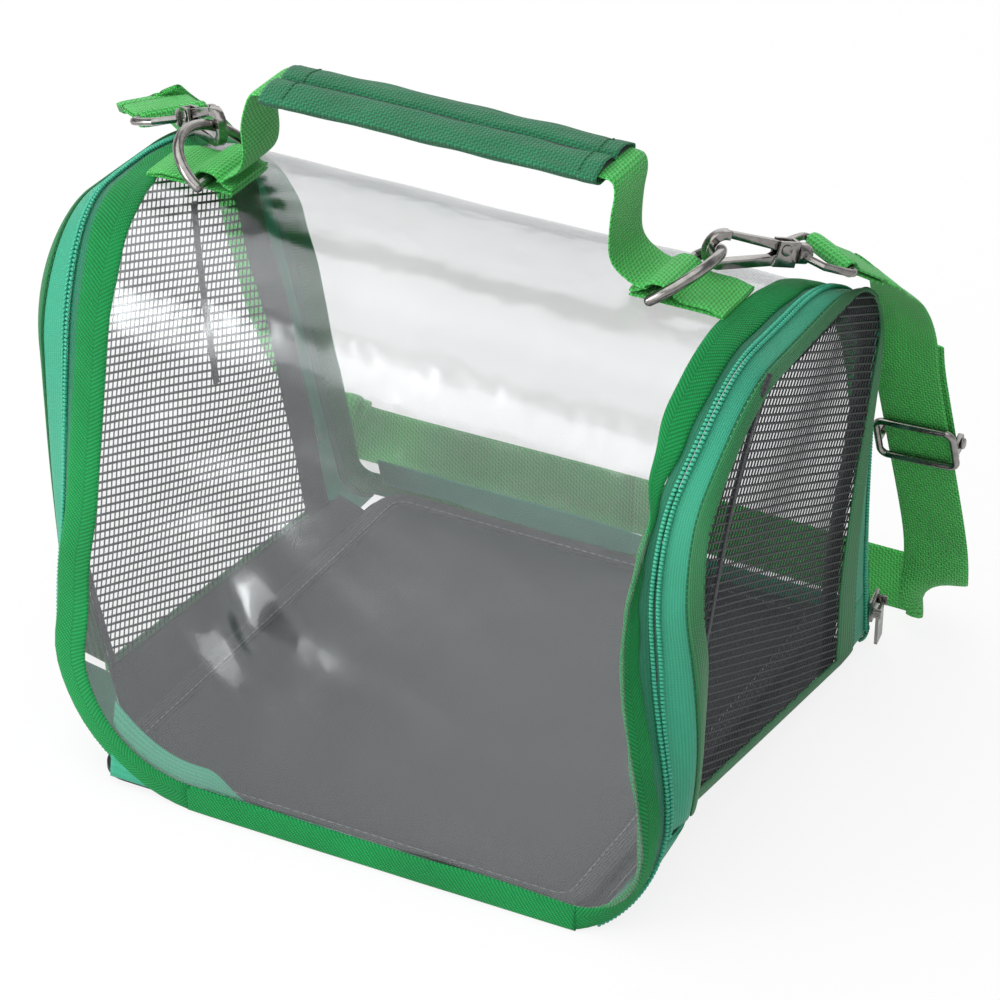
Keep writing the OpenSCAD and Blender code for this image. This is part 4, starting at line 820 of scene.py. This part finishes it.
# Base.
def rounded_loop(half_x, y0, y1, r, front_left_r, count=16):
    """A rectangle with round corners, anticlockwise from above, without a repeated point."""
    q = front_left_r
    corners = ((half_x - r, y1 - r, r), (-half_x + r, y1 - r, r),
               (-half_x + q, y0 + q, q), (half_x - r, y0 + r, r))
    t = np.linspace(0, math.pi / 2, count)
    turns = [t + k * math.pi / 2 for k in range(len(corners))]
    line = np.concatenate([vec(x, y) + c * np.stack([np.cos(a), np.sin(a)], 1)
                           for a, (x, y, c) in zip(turns, corners)])
    return even(np.concatenate([line, line[:1]]), 300)[:-1]


def floor_pieces():
    """Bottom cloth, side flaps, padded floor and its bound edge."""
    loop = rounded_loop(98, -110.3, 112.3, 12, 44)
    shrink = np.linspace(1, 0.02, 26)
    mid = vec(0, 1)
    base = mid + (loop - mid)[:, None] * shrink[None, :, None]
    rows = np.concatenate([base, np.full(base.shape[:2] + (1,), 0.5)], -1).transpose(1, 0, 2)
    top = rows + vec(0, 0, 0.5)
    under = rows[::-1] - vec(0, 0, 0.5)
    shell = np.concatenate([top[::-1], under[::-1]])
    uv = shell[..., :2] * MM
    loft("base_cloth", shell, uv, FLOOR, "carrier", stands_for=("base_fabric",), slot="coated_fabric")
    for side in (RIGHT, LEFT):
        n = door_axes(side)[3]
        t = np.linspace(0, 1, 60)[:, None]
        low = mix(FLAP_FRONT[side], FLAP_BACK, t)
        top = mix(SILL_FRONT[side] - vec(0, 4 + 2 * side, 0), SILL_BACK + vec(0, 8, 0), t) - n * 0.8
        s = np.linspace(0, 1, 24)[None, :, None]
        grid = mix(low[:, None], top[:, None], s)
        sag = 0.6 * np.sin(np.pi * s) * ripple(grid[..., 1], grid[..., 2], 60, 31)[..., None]
        tape(f"{SIDES[side]}_side_flap_cloth", grid + vec(1, 0, 0) * sag, 0.7, FLOOR, "carrier", side=side,
             stands_for=(f"{SIDES[side]}_side_flap",), slot="coated_fabric")
    s, t = cosine_shares(70), cosine_shares(80)
    x, y = np.meshgrid(mix(-86.2, 86.2, s), mix(-100.2, 102.2, t))
    sag = 0.45 * ripple(x, y, 90, 41) + 0.18 * ripple(x, y, 30, 42)
    pad = np.stack([x, y, 4.1 + 0 * x], -1)
    edge = np.sin(np.pi * s)[None, :] * np.sin(np.pi * t)[:, None]
    made = tape("padded_floor", pad, 2.2, FLOOR, "carrier", sharp=24, ends=24, normal=UP,
                lift=np.clip(sag * edge, -0.4, 1.2), stands_for=("floor_pad",), slot="coated_fabric")
    loop = rounded_loop(90.0, -104.0, 106.0, 8, 12)
    way = unit(np.roll(loop, -1, 0) - np.roll(loop, 1, 0))
    out = np.stack([way[:, 1], -way[:, 0]], 1)
    w = (cosine_shares(13) - 0.5) * 8
    base = loop[:, None] + out[:, None] * w[None, :, None]
    base = np.concatenate([base, np.full(base.shape[:2] + (1,), 4.6)], -1)
    tape("floor_edge_binding", base, 2.2, FLOOR_EDGE, "carrier", closed=True, normal=UP, sharp=5,
         stands_for=("floor_edge_tape",), slot="floor_tape")
    line = np.concatenate([loop - out * 2.6, np.full((len(loop), 1), 5.75)], 1)
    line = np.concatenate([line, line[:1]])
    stitches("floor_edge_stitches", line, UP, 3.4, 2.2, 0.3, THREAD_GREY, "carrier")


def stitches(name, line, normal, pitch, length, r, material, body, **more):
    """Running stitches: short rounded threads that lie along a line, one for each pitch. The
    normal is one for the whole line or one for each of its points."""
    normal = np.broadcast_to(normal, line.shape)
    s = travel(line)
    count = int(s[-1] / pitch)
    at = (np.arange(count) + 0.5) * s[-1] / count
    take = [np.stack([np.interp(at, s, a[:, i]) for i in range(3)], 1) for a in (line, along(line), normal)]
    way, up = unit(take[1]), take[2]
    over = unit(np.cross(up, way))
    frames = np.stack([way, over, unit(np.cross(way, over))], 1)
    half = length / 2
    return repeated(name, take[0], frames, vec(-1, -0.85, -0.4, 0.4, 0.85, 1) * half,
                    vec(0.15, 0.75, 1, 1, 0.75, 0.15) * r, 6, 0.8, material, body, **more)


# Webbing, handle and grip.
WEB_W, WEB_T, WEB_Y = 25.0, 1.5, -30.0
RING_X, LOOP_MID, RIDGE_WEB_Z = 84.0, 208.15, 203.75
GRIP_Z, GRIP_HALF = 241.0, 62.0


def webbing(name, grid, body, stands_for=(), **shape):
    """Flat webbing on a grid."""
    return tape(name, grid, WEB_T, WEB, body, sharp=6, stands_for=stands_for, slot="webbing", **shape)


def from_xz(line, y0, y1, columns=15):
    """Grid of webbing whose middle line lies in x and z, from one y to the other."""
    y = mix(y0, y1, cosine_shares(columns))
    x, z = line[:, None, 0] + 0 * y, line[:, None, 1] + 0 * y
    return np.stack([x, y[None, :] + 0 * x, z], -1)


def ridge_webbing(side):
    """Two layers on the ridge. The upper one rises over the bar of the ring."""
    name = SIDES[side]
    x = np.linspace(74, 107.5, 70)
    z = RIDGE_WEB_Z + (LOOP_MID - RIDGE_WEB_Z) * np.exp(-(np.abs((x - RING_X) / 5.6) ** 3.2))
    drop = soft(x, 100, 108)
    over = np.stack([x, z - 1.5 * drop], 1)
    under = np.stack([x, 202.1 - 0.5 * drop], 1)
    lay = [from_xz(line, WEB_Y + WEB_W / 2, WEB_Y - WEB_W / 2) for line in (over, under)]
    webbing(f"{name}_ring_webbing", lay[0], "carrier", (f"{name}_ridge_webbing",), side=side)
    webbing(f"{name}_ridge_webbing_layer", lay[1], "carrier", side=side)


def handle():
    """Webbing from foot to foot through the padded grip; the left foot stands a little further out."""
    foot = np.array([[80, 205.6], [76, 206], [72.5, 207.6], [69, 210], [66.8, 213.5], [66.2, 219],
                     [66.6, 228], [67.6, 236], [66.5, 240.4], [62.5, 241.3], [56, 241.2]], float)
    x, z = foot.T
    spread = 4.0 * (1 - soft(z, 228, 240)) * soft(x, 60, 68) * soft(-x, -80, -72)
    wide = foot + np.stack([spread, 0 * x], 1)
    line = spline(np.concatenate([foot, [[20, 241.2], [-20, 241.2]], wide[::-1] * vec(-1, 1)]), 10)
    web = from_xz(line, WEB_Y - WEB_W / 2, WEB_Y + WEB_W / 2)
    belt = webbing("carrying_webbing", web, None, ("handle_webbing",))
    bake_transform(belt)
    x = np.linspace(-GRIP_HALF, GRIP_HALF, 90)
    s = np.linspace(-1, 1, 61)
    e = np.abs(s) ** 5
    crown = 3.75 * np.sqrt(1 - e) * (0.72 + 0.28 * np.sin(np.pi * np.clip(np.abs(s) * 1.25, 0, 1)))
    valley = 1.5 * np.exp(-((s / 0.09) ** 2))
    section = np.concatenate([np.stack([15 * s, crown - valley], 1),
                              np.stack([15 * s, -3.2 * np.sqrt(1 - e)], 1)[::-1][1:-1]])
    rows = ((6, 0.70), (3, 0.72), (0.8, 0.80), (0, 0.92))
    way_in, share = np.array(rows, float).T
    xs = np.concatenate([-GRIP_HALF + way_in, x, (GRIP_HALF - way_in)[::-1]])
    k = np.concatenate([share, 1 - 0.04 * bump(np.abs(x), 54, 1.6), share[::-1]])
    p = section[None] * np.stack([0.5 + 0.5 * k, k], -1)[:, None]
    y = WEB_Y + p[..., 0] + 0.35 * ripple(xs, 0 * xs, 40, 51)[:, None]
    z = GRIP_Z + p[..., 1] + 0.22 * ripple(xs[:, None], p[..., 0] * 3, 24, 52)
    grid = np.stack(np.broadcast_arrays(xs[:, None], y, z), -1)
    v = np.concatenate([[0], np.cumsum(np.linalg.norm(np.diff(section, axis=0), axis=1))])
    uv = np.stack(np.broadcast_arrays(xs[:, None], v[None, :]), -1) * MM
    grip = loft("padded_grip_sleeve", grid, uv, SLEEVE, "handle",
                stands_for=("grip_sleeve",), slot="grip_weave")
    stitched = len(rows) + 6
    for tag, at in (("left", stitched), ("right", len(xs) - stitched)):
        seam = grid[at, 2:59] + vec(0, 0, 0.15)
        stitches(f"grip_{tag}_end_stitches", seam, UP, 2.2, 1.8, 0.35, THREAD_GREEN, "handle")
    xs = np.linspace(-61.2, 61.2, 60)
    for tag, z0 in (("upper", 1.3), ("lower", -1.3)):
        base = from_xz(np.stack([xs, GRIP_Z + z0 + 0 * xs], 1), WEB_Y - 12.8, WEB_Y + 12.8)
        foam = tape(f"{tag}_grip_foam", base, 1.0, FOAM, "handle", sharp=5,
                    stands_for=("grip_padding",), slot="foam")


# Shoulder strap.
RING_MID, RING_R, RING_TILT = vec(84, -30, 205.1), 18.0, math.radians(36)
HOLD = RING_MID + RING_R * vec(math.cos(math.pi / 4) * math.cos(RING_TILT), math.sin(math.pi / 4),
                               math.cos(math.pi / 4) * math.sin(RING_TILT))
HOOK = {RIGHT: (55, 15, 30), LEFT: (38, 18, 9)}
BAR_X = 45.3
END_L, LIFT_GAP = 16.0, 3.2


def heading(turn, droop):
    """Unit direction turned from +x about z and then let down, in degrees."""
    a, b = math.radians(turn), math.radians(droop)
    return vec(math.cos(b) * math.cos(a), math.cos(b) * math.sin(a), -math.sin(b))


def bar_centre(side):
    return HOLD + heading(*HOOK[side][:2]) * BAR_X


def end_direction(side):
    return heading(HOOK[side][0], HOOK[side][2])


def strap_route():
    """The strap's stations as [middle point, width direction], from the right hook down the
    back of the cover, along the floor and up to the left hook."""
    def leg_y(z):
        return BACK_D + 7 / math.cos(BACK_A) - z * math.tan(BACK_A)

    def over_tail(x, a):
        a = math.radians(a)
        return vec(x, TAIL_C[0] + (TAIL_R + 9) * math.cos(a), TAIL_C[1] + (TAIL_R + 9) * math.sin(a))

    def start(side, lead):
        return bar_centre(side) + end_direction(side) * (END_L + LIFT_GAP + lead)

    a, b = math.radians(HOOK[RIGHT][0]), math.radians(HOOK[LEFT][0])
    ra, la = vec(math.sin(a), -math.cos(a), 0), vec(-math.sin(b), -math.cos(b), 0)
    flip = vec(-1, 1, 1)
    rs = start(RIGHT, 0)
    low_x, high_z = 133.0, 130.5
    top, low = vec(127, leg_y(high_z), high_z), vec(low_x, leg_y(52), 52)
    mid = mix(low, top, (99 - 52) / (high_z - 52))
    stops = [
        (rs, ra), (start(RIGHT, 4), ra),
        (over_tail(rs[0] + 2, 45), (0.92, -0.38, 0)), (over_tail((rs[0] + 127) / 2, 32), (0.99, -0.12, 0)),
        (top, (1, 0, 0)), (mid, (1, 0, 0)), (low, (1, 0, 0)),
        (vec(low_x - 2, leg_y(28) + 1, 28), (0.9, 0, 0.35)), (vec(low_x - 10, 126, 17), (0.55, 0, 0.83)),
        (vec(low_x - 28, 131, 13), (0, 0, 1)), (vec(0, 133, 13), (0, 0, 1)), (vec(-104, 132, 13), (0, 0, 1)),
        (vec(-122, 127, 18), (-0.45, 0, 0.9)), (vec(-130, leg_y(34) + 3, 34), (-0.9, 0, 0.35)),
        (vec(-136, leg_y(66) + 1, 66), (-1, 0, 0)), (vec(-138, leg_y(105), 105), (-1, 0, 0)),
        (over_tail(-139, 26), (-0.98, -0.2, 0)), (over_tail(-143, 46), (-0.96, -0.25, 0)),
        (start(LEFT, 4) * flip, la), (start(LEFT, 0) * flip, la)]
    return np.array([p for p, _ in stops]), unit(np.array([np.array(w, float) for _, w in stops]))


STRAP_N = 14


def strap_grid(first, last, lift=0.0):
    """Grid of the strap between two of its stations."""
    p, w = strap_route()
    inner, inner_w = spline(p[1:-1], STRAP_N), spline(w[1:-1], STRAP_N)
    lead = np.linspace(0, 1, STRAP_N + 1)[:, None]
    line = np.concatenate([mix(p[0], p[1], lead)[:-1], inner, mix(p[-2], p[-1], lead)[1:]])
    across = np.concatenate([np.repeat(w[:1], STRAP_N, 0), inner_w, np.repeat(w[-1:], STRAP_N, 0)])
    t = along(line)
    across = unit(across - t * (across * t).sum(1, keepdims=True))
    grid = strip(line, across, WEB_W, 15)
    normal = grid_normals(grid)
    return (grid + normal * lift)[int(first * STRAP_N):int(last * STRAP_N) + 1]


def strap():
    """The two halves of the strap, its doubled layer and its two sewn ends."""
    right = webbing("right_strap_webbing", strap_grid(0, 10), None, ("right_strap_run", "back_strap_run"))
    left = webbing("left_strap_webbing", strap_grid(10, 19), None, ("left_strap_run",))
    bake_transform(right)
    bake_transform(left)
    layer = strap_grid(3.5, 5.25, lift=4.7)
    webbing("strap_adjusting_layer", layer, "carrier", ("strap_adjust_layer",))
    for side in (RIGHT, LEFT):
        d = end_direction(side)
        over = unit(np.cross(d, UP))
        up = unit(np.cross(over, d))
        a = np.linspace(-math.pi * 0.62, math.pi * 0.62, 26)
        r = 1.4 + 0.3 + WEB_T / 2
        wrap = np.stack([-np.cos(a) * r, np.sin(a) * r], 1)
        tail_x = np.linspace(3.4, END_L, 12)
        tail = np.stack([tail_x, np.full(12, 0.78)], 1)
        line2 = np.concatenate([tail[::-1] * vec(1, -1), wrap, tail])
        line = bar_centre(side) + line2[:, :1] * d + line2[:, 1:] * up
        grid = strip(line, np.repeat(over[None], len(line), 0), WEB_W, 13)
        name = SIDES[side]
        webbing(f"{name}_strap_end_webbing", grid, f"{name}_clip", (f"{name}_strap_end",), side=side)


# Metal.
def polished(node, width=0.3):
    """A copy of a CAD node with merged doubles and small round edges, which replaces it."""
    source = frame["nodes"][node]
    mesh = source.data.copy()
    mesh.name = node + "_polished"
    shape = bmesh.new()
    shape.from_mesh(mesh)
    bmesh.ops.remove_doubles(shape, verts=shape.verts, dist=0.00002)
    bmesh.ops.dissolve_limit(shape, angle_limit=math.radians(0.5), verts=shape.verts, edges=shape.edges)
    shape.to_mesh(mesh)
    shape.free()
    mesh.polygons.foreach_set("use_smooth", np.ones(len(mesh.polygons), bool))
    mesh.materials.clear()
    mesh.materials.append(NICKEL)
    thing = placed(node + "_polished", mesh)
    edge = thing.modifiers.new("round_edges", "BEVEL")
    edge.width, edge.segments, edge.limit_method, edge.angle_limit = width * MM, 2, "ANGLE", math.radians(35)
    edge.use_clamp_overlap, edge.harden_normals = True, True
    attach(thing, source["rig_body"])
    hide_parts(node)


# Room, lamps and camera.
def room():
    """A pale floor in a white room. The camera sees both as nearly white; plastic and metal mirror a
    room with bright and grey parts, by soft noise over the direction, and the floor keeps the
    object's shadow."""
    mat, tree, shader = finish_of("studio_floor", Roughness=0.9)
    shader.inputs["Base Color"].default_value = linear("#F2F2F2")
    path = tree.nodes.new("ShaderNodeLightPath")
    seen = {0: path.outputs["Is Camera Ray"], 1: path.outputs["Is Transmission Ray"]}
    direct = add(tree, "Math", seen, operation="MAXIMUM")
    share = add(tree, "Math", {0: direct, 1: 0.85}, operation="MULTIPLY")
    share = add(tree, "Math", {0: path.outputs["Is Glossy Ray"], 1: 0.5, 2: share}, operation="MULTIPLY_ADD")
    white = add(tree, "Emission", {"Color": (1, 1, 1, 1), "Strength": 1.0})
    both = add(tree, "MixShader", {0: share, 1: shader.outputs[0], 2: white})
    tree.links.new(both, tree.nodes["Material Output"].inputs["Surface"])
    mesh = bpy.data.meshes.new("studio_floor")
    mesh.from_pydata([(-9, -9, 0), (9, -9, 0), (9, 9, 0), (-9, 9, 0)], [], [(0, 1, 2, 3)])
    mesh.materials.append(mat)
    placed("studio_floor", mesh)
    world = bpy.data.worlds.new("studio_room")
    bpy.context.scene.world = world
    world.use_nodes = True
    tree = world.node_tree
    path = tree.nodes.new("ShaderNodeLightPath")
    place = add(tree, "TexCoord", out="Generated")
    cloud = add(tree, "TexNoise", {"Vector": place, "Scale": 1.6, "Detail": 1.0})
    walls = add(tree, "MapRange", {0: cloud, 1: 0.38, 2: 0.62, 3: 0.25, 4: 0.8})
    seen = {0: path.outputs["Is Camera Ray"], 1: path.outputs["Is Transmission Ray"]}
    direct = add(tree, "Math", seen, operation="MAXIMUM")
    level = add(tree, "MapRange", {0: direct, 3: 0.42, 4: 1.0})
    level = add(tree, "Mix", {0: path.outputs["Is Glossy Ray"], 2: level, 3: walls}, data_type="FLOAT")
    tree.links.new(level, tree.nodes["Background"].inputs["Strength"])
    tree.nodes["Background"].inputs["Color"].default_value = (1, 1, 1, 1)


def stand(thing, right, up, back, place):
    """Puts a lamp or camera at its place, with its own axes along right, up and back."""
    turn = np.eye(4)
    turn[:3] = np.stack([right, up, back, place], 1)
    thing.matrix_world = Matrix(turn.tolist())


def lamp(name, place, aim, size, watts):
    """A rectangular softbox that faces its aim. Places and sizes are in metres."""
    data = bpy.data.lights.new(name, "AREA")
    data.shape, data.size, data.size_y, data.energy = "RECTANGLE", size[0], size[1], watts
    back = unit(vec(*place) - vec(*aim))
    right = unit(np.cross(vec(0, 0.001, 1), back))
    stand(placed(name, data), right, np.cross(back, right), back, vec(*place))


def camera():
    """The camera that was fitted to the photograph's outlines."""
    az, el, roll, far = math.radians(26.3), math.radians(30.2), math.radians(1.4), 1.4963
    back = vec(math.sin(az) * math.cos(el), -math.cos(az) * math.cos(el), math.sin(el))
    right = vec(math.cos(az), math.sin(az), 0)
    up = np.cross(back, right)
    rolled_right = right * math.cos(roll) + up * math.sin(roll)
    rolled_up = -right * math.sin(roll) + up * math.cos(roll)
    data = bpy.data.cameras.new("photo_camera")
    data.lens, data.sensor_width, data.clip_start, data.clip_end = 153.24, 36, 0.05, 50
    thing = placed("photo_camera", data)
    aim = vec(0.0071, 0.0028, 0.0833)
    stand(thing, rolled_right, rolled_up, back, aim + back * far)
    bpy.context.scene.camera = thing
    bpy.context.scene.view_settings.view_transform = "Standard"


camera()
room()
lamp("overhead_softbox", (-0.3, -0.5, 1.9), (0, 0, 0.1), (3.0, 2.4), 34)
lamp("front_left_softbox", (-1.3, -1.5, 0.75), (0, 0, 0.1), (0.7, 1.1), 13)
lamp("low_front_softbox", (-0.7, -1.5, 0.45), (0, 0, 0.1), (1.5, 0.8), 9)
lamp("back_softbox", (-0.7, 1.7, 1.0), (0, 0, 0.15), (2.0, 1.6), 10)

clear_sheet()
bound = {}
for end in (RIGHT, LEFT):
    bound[end] = arch_pieces(end)
    door(end)
    ridge_webbing(end)
for where, row, out in (("front", 0, -1), ("back", -1, 1)):
    hem(f"{where}_bound_hem", (bound[LEFT][row], bound[RIGHT][row]), out, f"{where}_hem_binding", 61 + row)
seam_strip("front_mint_strip", front_y, 1, 86, "front_seam_tape", 63, corner_rise)
seam_strip("back_mint_strip", back_y, -1, 97, "back_seam_tape", 64, back_rise)
floor_pieces()
handle()
strap()
for end in SIDES.values():
    for part in ("ring", "hook", "hook_gate", "gate_rivet", "swivel_loop", "zip_slider", "zip_pull"):
        polished(f"{end}_{part}")
polished("adjuster_frame")
polished("adjuster_bar")
board = frame["nodes"]["base_board"]
board.material_slots[0].link = "OBJECT"
board.material_slots[0].material = BOARD
